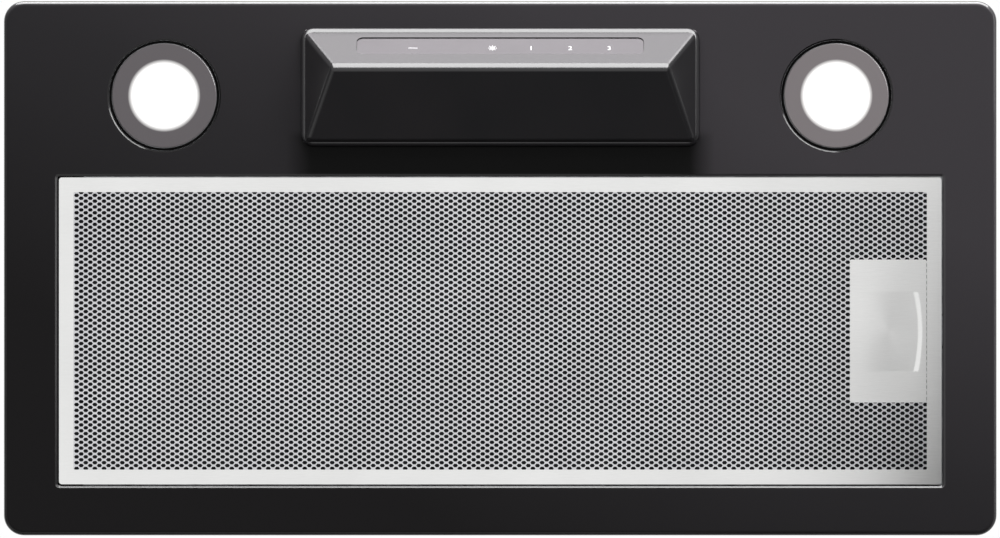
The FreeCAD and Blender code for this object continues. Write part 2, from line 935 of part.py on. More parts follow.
def indicator_leds():
    leds = []
    for number in range(led_count):
        x = (number - (led_count - 1) / 2) * led_spacing + led_offset
        leds.append(slab(led_size, led_size, led_corner_r, board_depth - led_height, board_depth,
                         cx=x))
    return on_front_face(group(leds))


def pan_screw(r, head_r, head, centre, length, direction):
    shank = rod(r, centre, length, direction)
    top = rod(head_r, centre - direction * head, head, direction)
    return fuse([shank, top])


def console_screws():
    screws = []
    for x, y, length in console_posts():
        screws.append(pan_screw(console_screw_r, console_screw_head_r, console_screw_head,
                                V(x, y, plate_top), panel_sheet + length - console_screw_gap,
                                V(0, 0, -1)))
    return group(screws)


# ---- Lamps --------------------------------------------------------------------------------

def lamp_centre(side, z=0.0):
    return V(side * lamp_x, -lamp_y, z)


def lamp_lens(side):
    low = plate_low + lamp_lens_rise
    up = V(0, 0, 1)
    disc = rod(lamp_lens_r, lamp_centre(side, low), plate_top - low, up)
    disc = disc.makeFillet(lamp_lens_edge_r, level_edges(disc, low))
    shoulder = rod(lamp_shoulder_r, lamp_centre(side, plate_top),
                   lamp_lens_thick - (plate_top - low), up)
    return fuse([disc, shoulder])


def lens_back():
    return plate_low + lamp_lens_rise + lamp_lens_thick


def lamp_bore_r():
    return lamp_shoulder_r + lamp_lens_slip


def lamp_body(side):
    """Die-cast cup with a flange on the fascia and cooling fins on its roof."""
    up = V(0, 0, 1)
    cup_r = lamp_bore_r() + lamp_cup_wall
    top = plate_top + lamp_cup_height
    flange = rod(lamp_flange_r, lamp_centre(side, plate_top), lamp_flange_thick, up)
    cup = rod(cup_r, lamp_centre(side, plate_top), lamp_cup_height, up)
    fins = []
    for number in range(lamp_fin_count):
        x = (number - (lamp_fin_count - 1) / 2) * (2 * cup_r / lamp_fin_count)
        half = math.sqrt(cup_r ** 2 - x ** 2) - lamp_fin_setback
        x0 = side * lamp_x + x - lamp_fin_thick / 2
        fins.append(block(x0, x0 + lamp_fin_thick, -lamp_y - half, -lamp_y + half,
                          top - lamp_fin_root, top + lamp_fin_height))
    body = fuse([flange, cup] + fins)
    hollow = rod(lamp_bore_r(), lamp_centre(side, plate_top),
                 lamp_cup_height - lamp_cup_wall, up)
    return body.cut(hollow)


def lamp_reflector(side):
    """White cone between the light source and the lens."""
    low = lens_back()
    high = plate_top + lamp_cup_height - lamp_cup_wall - lamp_reflector_gap
    wall = lamp_reflector_wall
    rim = tube(lamp_shoulder_r - lamp_rim_slip, lamp_glow_r, lamp_centre(side, low), wall,
               V(0, 0, 1))
    outer = Part.makeCone(lamp_glow_r + wall, lamp_emitter_r + wall, high - low,
                          lamp_centre(side, low))
    inner = Part.makeCone(lamp_glow_r, lamp_emitter_r, high - low, lamp_centre(side, low))
    return fuse([rim, outer]).cut(inner)


def lamp_led_board(side):
    high = plate_top + lamp_cup_height - lamp_cup_wall
    low = high - lamp_board_thick
    board = rod(lamp_shoulder_r - lamp_board_slip, lamp_centre(side, low), lamp_board_thick,
                V(0, 0, 1))
    chip = rod(lamp_emitter_r - lamp_board_slip, lamp_centre(side, low - lamp_chip_thick),
               lamp_chip_thick, V(0, 0, 1))
    return fuse([board, chip])


def lamp_clips(side):
    """Two sprung leaves that press the cup down on the fascia."""
    cup_r = lamp_bore_r() + lamp_cup_wall
    foot = plate_top
    out, up = lamp_clip_knee
    path = [(cup_r, foot + lamp_clip_top), (cup_r, foot + lamp_clip_bend), (cup_r + out, foot + up),
            (cup_r + lamp_clip_toe, foot + lamp_clip_strip)]
    leaf = strip(path, lamp_clip_strip, lamp_clip_width, -lamp_clip_width / 2)
    pair = group([leaf, mirrored(leaf)])
    pair.translate(V(side * lamp_x, -lamp_y, 0))
    return pair


# ---- Blower -------------------------------------------------------------------------------

def in_blower(x, u, w):
    """Point given from the blower's axis: u towards the back, w up."""
    return V(x, blower_y + u, blower_z + w)


def scroll_outline(grow, x):
    """Spiral of three quarter arcs and a straight outlet, moved outwards by grow."""
    r1, r2, r3 = (scroll_r + step * scroll_step + grow for step in range(3))
    s = scroll_step
    top = roof_low - blower_z
    start = math.radians(tongue_angle)
    first = (r1 * math.sin(start), r1 * math.cos(start))
    edges = []

    def arc(cu, cw, r, a0, a1):
        points = [in_blower(x, cu + r * math.sin(a), cw + r * math.cos(a))
                  for a in (a0, (a0 + a1) / 2, a1)]
        edges.append(Part.Arc(*points).toShape())

    quarter = math.pi / 2
    arc(0, 0, r1, start, quarter)
    arc(-s, 0, r2, quarter, 2 * quarter)
    arc(-s, s, r3, 2 * quarter, 3 * quarter)
    corner = [(-s - r3, s), (-s - r3, top), (tongue_top + grow, top), first]
    for before, after in zip(corner, corner[1:]):
        edges.append(Part.LineSegment(in_blower(x, *before), in_blower(x, *after)).toShape())
    return Part.Wire(edges)


def scroll_prism(grow, x0, x1):
    return Part.Face(scroll_outline(grow, x0)).extrude(V(x1 - x0, 0, 0))


def bush_places():
    return [(bush_ring_r * math.sin(math.radians(a)), bush_ring_r * math.cos(math.radians(a)))
            for a in (0, 120, 240)]


def scroll_half_shell(side):
    """One half of the scroll, with a rib along the seam and an inlet hole."""
    x0, x1 = sorted((0, side * scroll_half))
    rib0, rib1 = sorted((0, side * seam_half))
    in0, in1 = sorted((0, side * (scroll_half - scroll_wall)))
    body = scroll_prism(scroll_wall, x0, x1)
    rib = scroll_prism(scroll_wall + seam_rib, rib0, rib1)
    shell = fuse([body, rib])
    hole = rod(inlet_hole_r, in_blower(side * scroll_half, 0, 0), 2 * scroll_wall,
               V(-side, 0, 0))
    cuts = [scroll_prism(0.0, in0, in1), hole]
    if side > 0:
        cuts += [rod(bracket_screw_r, in_blower(scroll_half, u, w), scroll_wall, V(-1, 0, 0))
                 for u, w in bush_places()]
    return shell.cut(cuts)


def inlet_ring(side):
    """Flanged bell mouth whose throat reaches in towards the wheel."""
    outer_x = scroll_half + inlet_thick
    throat_x = scroll_half - inlet_reach
    bend = inlet_hole_r - inlet_slip - inlet_throat_r
    t = inlet_thick
    ring = [(scroll_half, inlet_flange_r), (outer_x, inlet_flange_r),
            (outer_x, inlet_throat_r + bend - t)]
    points = [in_blower(side * x, 0, r) for x, r in ring]
    back, waist = inlet_curve_x * bend, inlet_throat_r + inlet_curve_r * bend
    inner = [(outer_x, inlet_throat_r + bend - t), (outer_x - back, waist - t / 2),
             (throat_x, inlet_throat_r)]
    outer = [(throat_x, inlet_throat_r + t), (scroll_half - back, waist + t),
             (scroll_half, inlet_throat_r + bend)]
    first = [in_blower(side * x, 0, r) for x, r in inner]
    second = [in_blower(side * x, 0, r) for x, r in outer]
    edges = [Part.LineSegment(points[0], points[1]).toShape(),
             Part.LineSegment(points[1], points[2]).toShape(),
             Part.Arc(*first).toShape(),
             Part.LineSegment(first[2], second[0]).toShape(),
             Part.Arc(*second).toShape(),
             Part.LineSegment(second[2], points[0]).toShape()]
    face = Part.Face(Part.Wire(edges))
    return face.revolve(in_blower(0, 0, 0), V(1, 0, 0), 360)


def impeller():
    """Double-inlet wheel: hub disc, two end rings and forward-curved blades."""
    along = V(1, 0, 0)
    pieces = [rod(wheel_r, in_blower(hub_disc_x - hub_disc_thick / 2, 0, 0), hub_disc_thick,
                  along),
              rod(hub_r, in_blower(hub_left, 0, 0), hub_right - hub_left, along)]
    for x in (-wheel_half, wheel_half - wheel_ring_width):
        pieces.append(tube(wheel_r + wheel_ring_lip, wheel_inner_r, in_blower(x, 0, 0), wheel_ring_width,
                           along))
    pieces += [blade(360.0 * number / blade_count) for number in range(blade_count)]
    wheel = pieces[0].multiFuse(pieces[1:])
    return wheel.cut(rod(shaft_r, in_blower(hub_left, 0, 0), hub_right - hub_left, along))


def blade(angle):
    """Curved strip from the wheel's inner to its outer radius."""
    r0, r1 = wheel_inner_r + blade_overlap, wheel_r + blade_overlap
    middle = (r0 + r1) / 2
    half = math.degrees(blade_thick / 2 / middle)

    def point(r, degrees):
        turn = math.radians(angle + degrees)
        return in_blower(-wheel_half + blade_overlap, r * math.sin(turn), r * math.cos(turn))

    bow = blade_sweep * blade_sweep_share
    near = [point(r0, -half), point(middle, bow - half),
            point(r1, blade_sweep - half)]
    far = [point(r1, blade_sweep + half), point(middle, bow + half),
           point(r0, half)]
    edges = [Part.Arc(*near).toShape(), Part.LineSegment(near[2], far[0]).toShape(),
             Part.Arc(*far).toShape(), Part.LineSegment(far[2], near[0]).toShape()]
    face = Part.Face(Part.Wire(edges))
    return face.extrude(V(2 * (wheel_half - blade_overlap), 0, 0))


def motor_shaft():
    return rod(shaft_r, in_blower(shaft_left, 0, 0), shaft_right - shaft_left, V(1, 0, 0))


def motor_rotor():
    return tube(rotor_r, shaft_r, in_blower(stator_left, 0, 0), stator_right - stator_left,
                V(1, 0, 0))


def motor_stator():
    return tube(motor_r, rotor_r + air_gap, in_blower(stator_left, 0, 0),
                stator_right - stator_left, V(1, 0, 0))


def motor_windings():
    ends = []
    for x in (stator_left - winding_length, stator_right):
        ends.append(tube(winding_outer_r, winding_inner_r, in_blower(x, 0, 0), winding_length,
                         V(1, 0, 0)))
    return group(ends)


def bearing_starts():
    return [bell_inner_left, bell_outer_right - bearing_width + bearing_offset]


def motor_bell(x0, x1, closed_left):
    """Cup-shaped end cover with a bearing seat in its middle."""
    along = V(1, 0, 0)
    cup = rod(motor_r, in_blower(x0, 0, 0), x1 - x0, along)
    inside = x0 + bell_wall if closed_left else x0
    hollow = rod(motor_r - bell_wall, in_blower(inside, 0, 0), x1 - x0 - bell_wall, along)
    bearing = bearing_starts()[0 if closed_left else 1]
    seat = rod(bearing_r + bearing_seat, in_blower(bearing, 0, 0), bearing_width, along)
    pieces = [cup.cut(hollow), seat]
    if not closed_left:
        low = x1 - past
        pieces.append(rod(neck_r, in_blower(low, 0, 0), bracket_x() - low, along))
    bell = fuse(pieces)
    bore = rod(bearing_r, in_blower(bearing, 0, 0), bearing_width, along)
    way = rod(shaft_r + shaft_slip, in_blower(x0 - past, 0, 0), bracket_x() - x0 + 2 * past, along)
    return bell.cut([bore, way])


def motor_bearings():
    return group([tube(bearing_r, shaft_r + running_clearance / 2, in_blower(x, 0, 0),
                       bearing_width, V(1, 0, 0)) for x in bearing_starts()])


def bracket_x():
    return scroll_half + inlet_thick + bush_length


def motor_bushes():
    bushes = []
    for u, w in bush_places():
        start = in_blower(scroll_half, u, w)
        bushes.append(tube(bush_r, bracket_screw_r, start, bracket_x() - scroll_half,
                           V(1, 0, 0)))
    return group(bushes)


def motor_bracket():
    x = bracket_x()
    along = V(1, 0, 0)
    pieces = [rod(bracket_hub_r, in_blower(x, 0, 0), bracket_thick, along)]
    cuts = [rod(shaft_r + bracket_bore_slip, in_blower(x, 0, 0), bracket_thick, along)]
    for number, (u, w) in enumerate(bush_places()):
        arm = block(x, x + bracket_thick, -bracket_arm / 2, bracket_arm / 2, 0, bush_ring_r)
        arm.rotate(V(0, 0, 0), V(1, 0, 0), -120.0 * number)
        arm.translate(in_blower(0, 0, 0))
        pad = rod(bracket_arm / 2, in_blower(x, u, w), bracket_thick, along)
        pieces += [arm, pad]
        cuts.append(rod(bracket_screw_r, in_blower(x, u, w), bracket_thick, along))
    return fuse(pieces).cut(cuts)


def bracket_screws():
    start = bracket_x() + bracket_thick
    return group([pan_screw(bracket_screw_r, bracket_screw_head_r, bracket_screw_head,
                            in_blower(start, u, w), bracket_screw_length, V(-1, 0, 0))
                  for u, w in bush_places()])


def capacitor():
    can = rod(capacitor_r, V(capacitor_x, capacitor_y, roof_low - capacitor_length),
              capacitor_length, V(0, 0, 1))
    return can.makeFillet(capacitor_edge_r, level_edges(can, roof_low - capacitor_length))


# ---- Outlet -------------------------------------------------------------------------------

def collar_screw_places():
    spread = collar_screw_spread
    return [(sx * spread, outlet_y + sy * spread) for sx in (-1, 1) for sy in (-1, 1)]


def duct_collar():
    up = V(0, 0, 1)
    inner_r = collar_r - collar_wall
    centre = V(0, outlet_y, body_height)
    flange = slab(collar_flange, collar_flange, collar_corner_r, body_height, collar_base,
                  cy=outlet_y)
    pipe = rod(collar_r, centre, collar_flange_thick + collar_height, up)
    pipe = pipe.makeChamfer(collar_chamfer, level_edges(pipe, collar_base + collar_height))
    body = fuse([flange, pipe])
    ledge_top = flap_z - flap_thick / 2 - flap_ledge_gap
    ledge_low = ledge_top - flap_ledge_thick
    bore = rod(inner_r, centre, ledge_low - body_height, up)
    throat = rod(inner_r - flap_ledge_width, V(0, outlet_y, ledge_low), flap_ledge_thick, up)
    upper = rod(inner_r, V(0, outlet_y, ledge_top), collar_base + collar_height - ledge_top, up)
    holes = [rod(collar_screw_r + screw_slip, V(x, y, body_height), collar_flange_thick, up)
             for x, y in collar_screw_places()]
    return body.cut([bore, throat, upper, flap_rod()] + holes)


def flap_rod():
    half = collar_r - flap_rod_inset
    return rod(flap_rod_r, V(-half, outlet_y, flap_z), 2 * half, V(1, 0, 0))


def flap(side):
    """Half-round flap; side -1 swings up on the cook's side, +1 on the wall's side."""
    r = collar_r - collar_wall - flap_slip
    low = flap_z - flap_thick / 2
    disc = rod(r, V(0, outlet_y, low), flap_thick, V(0, 0, 1))
    y0, y1 = sorted((outlet_y + side * flap_root, outlet_y + side * (r + past)))
    pieces = [disc.common(block(-r, r, y0, y1, low, low + flap_thick))]
    places = (-knuckle_outer_x, knuckle_inner_x) if side < 0 else (-knuckle_inner_x, knuckle_outer_x)
    along = V(1, 0, 0)
    for x in places:
        start = x - knuckle_length / 2
        pieces.append(rod(knuckle_r, V(start, outlet_y, flap_z), knuckle_length, along))
        w0, w1 = sorted((outlet_y, outlet_y + side * (flap_root + flap_ledge_gap)))
        pieces.append(block(start, start + knuckle_length, w0, w1, low, low + flap_thick))
    bore = rod(flap_rod_r + running_clearance, V(-collar_r, outlet_y, flap_z), 2 * collar_r,
               along)
    return fuse(pieces).cut(bore)


def collar_screws():
    return group([pan_screw(collar_screw_r, collar_screw_head_r, collar_screw_head,
                            V(x, y, collar_base), collar_screw_length, V(0, 0, -1))
                  for x, y in collar_screw_places()])


# ---- Terminal box -------------------------------------------------------------------------

def terminal_box():
    low, high = body_height, body_height + box_height
    outer = slab(box_width, box_depth, box_corner_r, low, high, box_x, box_y)
    inner = slab(box_width - 2 * box_wall, box_depth - 2 * box_wall, box_corner_r - box_wall,
                 low + box_wall, high, box_x, box_y)
    wires = rod(box_wire_hole_r, V(box_x, box_y, low), box_wall, V(0, 0, 1))
    entry = rod(gland_thread_r, V(box_x + box_width / 2 - box_wall, box_y, low + gland_z),
                box_wall, V(1, 0, 0))
    return outer.cut([inner, wires, entry])


def terminal_box_cover():
    low = body_height + box_height
    lid = slab(box_width, box_depth, box_corner_r, low, low + box_lid_thick, box_x, box_y)
    lid = lid.makeFillet(box_lid_edge_r, level_edges(lid, low + box_lid_thick))
    inset = box_wall + spigot_slip
    spigot = slab(box_width - 2 * inset, box_depth - 2 * inset, box_corner_r - box_wall,
                  low - spigot_depth, low, box_x, box_y)
    hollow = slab(box_width - 4 * box_wall, box_depth - 4 * box_wall, spigot_corner_r,
                  low - spigot_depth, low, box_x, box_y)
    return fuse([lid, spigot.cut(hollow)])


def terminal_block():
    low = body_height + box_wall
    x0 = box_x - block_width / 2
    y0 = box_y + block_offset
    body = block(x0, x0 + block_width, y0, y0 + block_depth, low, low + block_height)
    pitch = block_width / block_ways
    wells = [rod(block_well_r, V(x0 + (number + 0.5) * pitch, y0 + block_depth / 2,
                                 low + block_well_floor), block_height, V(0, 0, 1))
             for number in range(block_ways)]
    return body.cut(wells)


def gland_start():
    return V(box_x + box_width / 2, box_y, body_height + gland_z)


def cable_gland():
    """Screwed gland in the box's right wall; its bore takes the supply cable."""
    along = V(1, 0, 0)
    start = gland_start()
    total = box_wall + gland_inside_length
    thread = rod(gland_thread_r, start - along * total, total, along)
    ring = rod(gland_thread_r + gland_ring, start - along * total, gland_ring, along)
    collar = hexagon(gland_hex, gland_collar_length, V(0, 0, 0))
    collar.rotate(V(0, 0, 0), V(0, 1, 0), 90)
    collar.translate(start)
    nut_start = start + along * gland_collar_length
    nut = rod(gland_hex / 2, nut_start, gland_nut_length, along)
    tip = nut_start.x + gland_nut_length
    rim = [edge for edge in nut.Edges
           if abs(edge.BoundBox.XMin - tip) < 0.01 and abs(edge.BoundBox.XMax - tip) < 0.01]
    nut = nut.makeFillet(gland_edge_r, rim)
    body = fuse([thread, ring, collar, nut])
    bore = rod(gland_bore_r, start - along * total, total + tip - start.x, along)
    return body.cut(bore)


# ---- Every node ---------------------------------------------------------------------------

shapes["fascia_panel"] = fascia_panel()
shapes["fascia_studs"] = fascia_studs()
shapes["fascia_nuts"] = fascia_nuts()
shapes["body_shell"] = body_shell()
shapes["front_channel"] = front_channel()
shapes["filter_seat"] = filter_seat()
shapes["filter_hinge_blocks"] = filter_hinge_blocks()
shapes["side_clips"] = side_clips()
shapes["side_clip_rivets"] = side_clip_rivets()
shapes["filter_frame"] = filter_frame()
shapes["filter_front_sheet"] = filter_front_sheet()
shapes["filter_mesh_pack"] = filter_mesh_pack()
shapes["filter_rear_sheet"] = filter_rear_sheet()
shapes["filter_hinge_pins"] = filter_hinge_pins()
shapes["latch_housing"] = latch_housing()
shapes["latch_spring"] = latch_spring()
shapes["latch_handle"] = latch_handle()
shapes["latch_tongue"] = latch_tongue()
shapes["console_cover"] = console_cover()
shapes["touch_window"] = touch_window()
shapes["control_board"] = control_board()
shapes["indicator_leds"] = indicator_leds()
shapes["console_screws"] = console_screws()
for name, hand in (("left", -1), ("right", 1)):
    shapes["lamp_lens_" + name] = lamp_lens(hand)
    shapes["lamp_body_" + name] = lamp_body(hand)
    shapes["lamp_reflector_" + name] = lamp_reflector(hand)
    shapes["lamp_led_board_" + name] = lamp_led_board(hand)
    shapes["lamp_clips_" + name] = lamp_clips(hand)
    shapes["scroll_" + name] = scroll_half_shell(hand)
    shapes["inlet_ring_" + name] = inlet_ring(hand)
shapes["impeller"] = impeller()
shapes["motor_shaft"] = motor_shaft()
shapes["motor_rotor"] = motor_rotor()
shapes["motor_stator"] = motor_stator()
shapes["motor_windings"] = motor_windings()
shapes["motor_bell_inner"] = motor_bell(bell_inner_left, stator_left, True)
shapes["motor_bell_outer"] = motor_bell(stator_right, bell_outer_right, False)
shapes["motor_bearings"] = motor_bearings()
shapes["motor_bushes"] = motor_bushes()
shapes["motor_bracket"] = motor_bracket()
shapes["bracket_screws"] = bracket_screws()
shapes["capacitor"] = capacitor()
shapes["duct_collar"] = duct_collar()
shapes["flap_rod"] = flap_rod()
shapes["flap_front"] = flap(-1)
shapes["flap_rear"] = flap(1)
shapes["collar_screws"] = collar_screws()
shapes["terminal_box"] = terminal_box()
shapes["terminal_box_cover"] = terminal_box_cover()
shapes["terminal_block"] = terminal_block()
shapes["cable_gland"] = cable_gland()

os.makedirs("parts", exist_ok=True)
for name, shape in shapes.items():
    if not shape.isValid():
        print("not valid:", name)
    print(name, len(shape.Solids), round(shape.Volume, 1))
    shape.exportStep("parts/" + name + ".step")
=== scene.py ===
import json
import math

import bpy
import numpy as np
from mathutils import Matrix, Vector

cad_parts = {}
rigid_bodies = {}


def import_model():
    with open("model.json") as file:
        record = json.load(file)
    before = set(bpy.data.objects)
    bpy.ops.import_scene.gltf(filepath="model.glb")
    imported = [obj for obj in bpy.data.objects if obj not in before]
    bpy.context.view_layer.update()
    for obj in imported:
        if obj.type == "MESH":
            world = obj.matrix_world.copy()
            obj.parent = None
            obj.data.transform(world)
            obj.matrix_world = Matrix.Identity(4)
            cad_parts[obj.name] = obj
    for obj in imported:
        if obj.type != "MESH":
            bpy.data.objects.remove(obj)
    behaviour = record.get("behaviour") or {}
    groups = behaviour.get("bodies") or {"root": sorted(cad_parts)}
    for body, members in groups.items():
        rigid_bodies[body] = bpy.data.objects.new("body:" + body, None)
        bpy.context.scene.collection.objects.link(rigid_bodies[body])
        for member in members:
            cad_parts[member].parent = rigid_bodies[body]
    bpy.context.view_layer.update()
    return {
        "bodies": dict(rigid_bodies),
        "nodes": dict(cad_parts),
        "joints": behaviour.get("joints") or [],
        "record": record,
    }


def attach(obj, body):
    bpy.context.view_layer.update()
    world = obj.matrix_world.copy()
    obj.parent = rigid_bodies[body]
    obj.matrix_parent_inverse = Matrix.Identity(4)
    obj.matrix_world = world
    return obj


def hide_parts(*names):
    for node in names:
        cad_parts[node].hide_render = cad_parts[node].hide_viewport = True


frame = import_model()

nodes = frame["nodes"]
mm = 0.001
print("frame loaded,", len(nodes), "parts")


def screenColour(red, green, blue):
    # a colour as a picture shows it, 0 to 255, turned into the light values that shaders use
    values = []
    for part in (red, green, blue):
        c = part / 255
        values.append(c / 12.92 if c <= 0.04045 else ((c + 0.055) / 1.055) ** 2.4)
    return (*values, 1.0)


def gridFaces(rows, columns, closeRows=False, closeColumns=False, start=0):
    # four-sided faces between neighbours of a rows x columns grid of points, whole arrays at once
    r = np.arange(rows if closeRows else rows - 1)
    c = np.arange(columns if closeColumns else columns - 1)
    r, c = np.meshgrid(r, c, indexing="ij")
    nextRow, nextColumn = (r + 1) % rows, (c + 1) % columns
    quads = [r * columns + c, r * columns + nextColumn,
             nextRow * columns + nextColumn, nextRow * columns + c]
    return np.stack(quads, axis=-1).reshape(-1, 4) + start


def meshPiece(name, points, faceSets, material, body, smooth=True):
    # points in metres in the row frame; faceSets are index arrays, one row per face
    points = np.asarray(points, float).reshape(-1, 3)
    corners = np.concatenate([f.ravel() for f in faceSets]).astype(np.int32)
    sizes = np.concatenate([np.full(len(f), f.shape[1]) for f in faceSets])
    starts = np.concatenate([[0], np.cumsum(sizes)[:-1]]).astype(np.int32)
    mesh = bpy.data.meshes.new(name)
    mesh.vertices.add(len(points))
    mesh.vertices.foreach_set("co", points.astype(np.float32).ravel())
    mesh.loops.add(len(corners))
    mesh.loops.foreach_set("vertex_index", corners)
    mesh.polygons.add(len(sizes))
    mesh.polygons.foreach_set("loop_start", starts)
    mesh.update(calc_edges=True)
    mesh.validate()
    mesh.polygons.foreach_set("use_smooth", np.full(len(mesh.polygons), smooth))
    mesh.materials.append(material)
    piece = bpy.data.objects.new(name, mesh)
    bpy.context.scene.collection.objects.link(piece)
    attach(piece, body)
    return piece


def newMaterial(name):
    material = bpy.data.materials.new(name)
    material.use_nodes = True
    tree = material.node_tree
    tree.nodes.clear()
    output = tree.nodes.new("ShaderNodeOutputMaterial")
    shader = tree.nodes.new("ShaderNodeBsdfPrincipled")
    tree.links.new(shader.outputs[0], output.inputs[0])
    return material, tree, shader


def addNode(tree, kind, sockets, **settings):
    node = tree.nodes.new("ShaderNode" + kind)
    for key, value in settings.items():
        setattr(node, key, value)
    for key, value in sockets.items():
        if isinstance(value, bpy.types.NodeSocket):
            tree.links.new(value, node.inputs[key])
        else:
            node.inputs[key].default_value = value
    return node


def maths(tree, operation, *values):
    return addNode(tree, "Math", dict(enumerate(values)), operation=operation).outputs[0]


def place(tree, stretch=(1, 1, 1), turn=(0, 0, 0), move=(0, 0, 0)):
    spot = addNode(tree, "TexCoord", {}).outputs["Object"]
    return addNode(tree, "Mapping", {"Vector": spot, "Scale": stretch, "Rotation": turn,
                                     "Location": move}).outputs[0]


def noise(tree, where, scale, detail=3.0, rough=0.55):
    return addNode(tree, "TexNoise", {"Vector": where, "Scale": scale, "Detail": detail,
                                      "Roughness": rough}).outputs[0]


def spread(tree, value, low, high, fromLow=0.3, fromHigh=0.7):
    return addNode(tree, "MapRange", {"Value": value, "From Min": fromLow, "From Max": fromHigh,
                                      "To Min": low, "To Max": high}).outputs[0]


def shades(tree, value, stops):
    # stops: (place from 0 to 1, colour)
    node = addNode(tree, "ValToRGB", {"Fac": value})
    row = node.color_ramp.elements
    while len(row) < len(stops):
        row.new(0.5)
    for element, (spot, colour) in zip(row, stops):
        element.position = spot
        element.color = colour
    return node.outputs[0]


def darkToLight(tree, value, s, low=0.3, high=0.7):
    return shades(tree, value, [(low, screenColour(*s["dark"])), (high, screenColour(*s["light"]))])


def flatDistance(tree, spot):
    # distance from the upright line through the origin
    flat = addNode(tree, "VectorMath", {0: spot, 1: (1, 1, 0)}, operation="MULTIPLY").outputs[0]
    return addNode(tree, "VectorMath", {0: flat}, operation="LENGTH").outputs["Value"]


def bump(tree, height, strength, distance, under=None):
    sockets = {"Height": height, "Strength": strength, "Distance": distance}
    if under:
        sockets["Normal"] = under
    return addNode(tree, "Bump", sockets).outputs[0]


def facing(tree, axis):
    # how far the surface faces along X, Y or Z, for axis 0, 1 or 2
    normal = addNode(tree, "NewGeometry", {}).outputs["Normal"]
    return addNode(tree, "SeparateXYZ", {0: normal}).outputs[axis]


def bends(tree, fromLevel, toLevel):
    # 0 on faces that lie level, 1 where a rounded edge turns away from level
    return spread(tree, maths(tree, "ABSOLUTE", facing(tree, 2)), 0.0, 1.0, fromLevel, toLevel)


def wire(tree, shader, sockets):
    for key, value in sockets.items():
        if isinstance(value, bpy.types.NodeSocket):
            tree.links.new(value, shader.inputs[key])
        else:
            shader.inputs[key].default_value = value


def mouldedFinish(name, s):
    # moulded or painted surface: slow change of tone, fine grain in the bump, gloss that varies a little
    material, tree, shader = newMaterial(name)
    where = place(tree)
    tone = noise(tree, where, s["toneScale"], 4.0)
    grain = noise(tree, where, s["grainScale"], 2.0)
    smear = noise(tree, where, s["smearScale"], 3.0)
    colour = darkToLight(tree, tone, s)
    gloss = spread(tree, smear, *s["roughness"])
    normal = bump(tree, grain, s["grainStrength"], s["grainDepth"] * mm)
    wire(tree, shader, {"Base Color": colour, "Roughness": gloss, "Normal": normal,
                        "Specular IOR Level": s["specular"], "Coat Weight": s["coat"],
                        "Coat Roughness": s["coatRoughness"]})
    return material


def brushedFinish(name, s):
    # rolled or brushed metal: long streaks along one direction, fine grit across them
    material, tree, shader = newMaterial(name)
    along = place(tree, stretch=s["streak"])
    where = place(tree)
    streaks = noise(tree, along, s["streakScale"], 5.0, 0.65)
    clouds = noise(tree, where, s["cloudScale"], 3.0)
    half = maths(tree, "MULTIPLY", maths(tree, "ADD", streaks, clouds), 0.5)
    colour = darkToLight(tree, half, s, 0.35, 0.65)
    gloss = spread(tree, streaks, *s["roughness"])
    normal = bump(tree, streaks, s["streakStrength"], s["streakDepth"] * mm)
    wire(tree, shader, {"Base Color": colour, "Metallic": 1.0, "Roughness": gloss,
                        "Anisotropic": s["anisotropic"], "Normal": normal})
    return material


def spangledZinc(name, s):
    # zinc-coated sheet: crystal patches of slightly different grey and gloss, rolling marks over them
    material, tree, shader = newMaterial(name)
    where = place(tree)
    wobble = maths(tree, "MULTIPLY", noise(tree, where, s["cloudScale"], 2.0), 0.5)
    cells = addNode(tree, "TexVoronoi", {"Vector": where, "Scale": s["spangleScale"]})
    patch = addNode(tree, "SeparateColor", {0: cells.outputs["Color"]})
    marks = noise(tree, place(tree, stretch=s["rolled"]), s["markScale"], 3.0)
    blend = maths(tree, "MULTIPLY_ADD", patch.outputs[0], s["patchShare"], wobble)
    colour = darkToLight(tree, blend, s, 0.15, 0.95)
    gloss = spread(tree, patch.outputs[1], *s["roughness"], 0.0, 1.0)
    normal = bump(tree, marks, s["markStrength"], s["markDepth"] * mm)
    wire(tree, shader, {"Base Color": colour, "Metallic": 1.0, "Roughness": gloss, "Normal": normal})
    return material


# corner, middle and far are painted light: the panel's tone from its shaded corner to its lit corner; the
# darkest colour is the painted shadow behind the console
paintSettings = {"corner": (21, 20, 21), "middle": (35, 34, 36), "far": (50, 48, 51), "paintedShadowColour": (9, 9, 9),
                 "shade": (100, 113, -73, -69, -50, -36),  # painted shadow behind the console: half width, front and back
                 "across": 1.72, "along": -3.3,            # painted light: tone change per metre, along X and along Y
                 "start": 0.5, "cloudScale": 7.0, "cloud": 0.16,
                 "grainScale": 950.0, "smearScale": 35.0, "roughness": (0.40, 0.47),
                 "grainStrength": 0.22, "grainDepth": 0.04, "specular": 0.06,
                 "edgeFrom": 0.95, "edgeTo": 0.86, "edgeRoughness": 0.13, "edgeIor": 1.5}
consoleSettings = {"dark": (13, 13, 14), "light": (17, 16, 17), "toneScale": 14.0, "grainScale": 700.0,
                   "smearScale": 55.0, "roughness": (0.45, 0.55), "grainStrength": 0.06, "grainDepth": 0.03,
                   "specular": 0.0, "coat": 1.0, "coatRoughness": 0.21, "matt": 0.09,
                   "mattFacing": (0.30, 0.42)}
windowSettings = {"dark": (64, 59, 64), "light": (72, 66, 72), "toneScale": 30.0, "grainScale": 1200.0,
                  "smearScale": 80.0, "roughness": (0.17, 0.22), "grainStrength": 0.03, "grainDepth": 0.02,
                  "specular": 0.3, "coat": 0.35, "coatRoughness": 0.12}
uncoated = {"specular": 0.4, "coat": 0.0, "coatRoughness": 0.3}
blackMouldingSettings = {"dark": (22, 22, 23), "light": (31, 31, 32), "toneScale": 18.0,
                         "grainScale": 1500.0, "smearScale": 70.0, "roughness": (0.46, 0.58),
                         "grainStrength": 0.5, "grainDepth": 0.08, **uncoated}
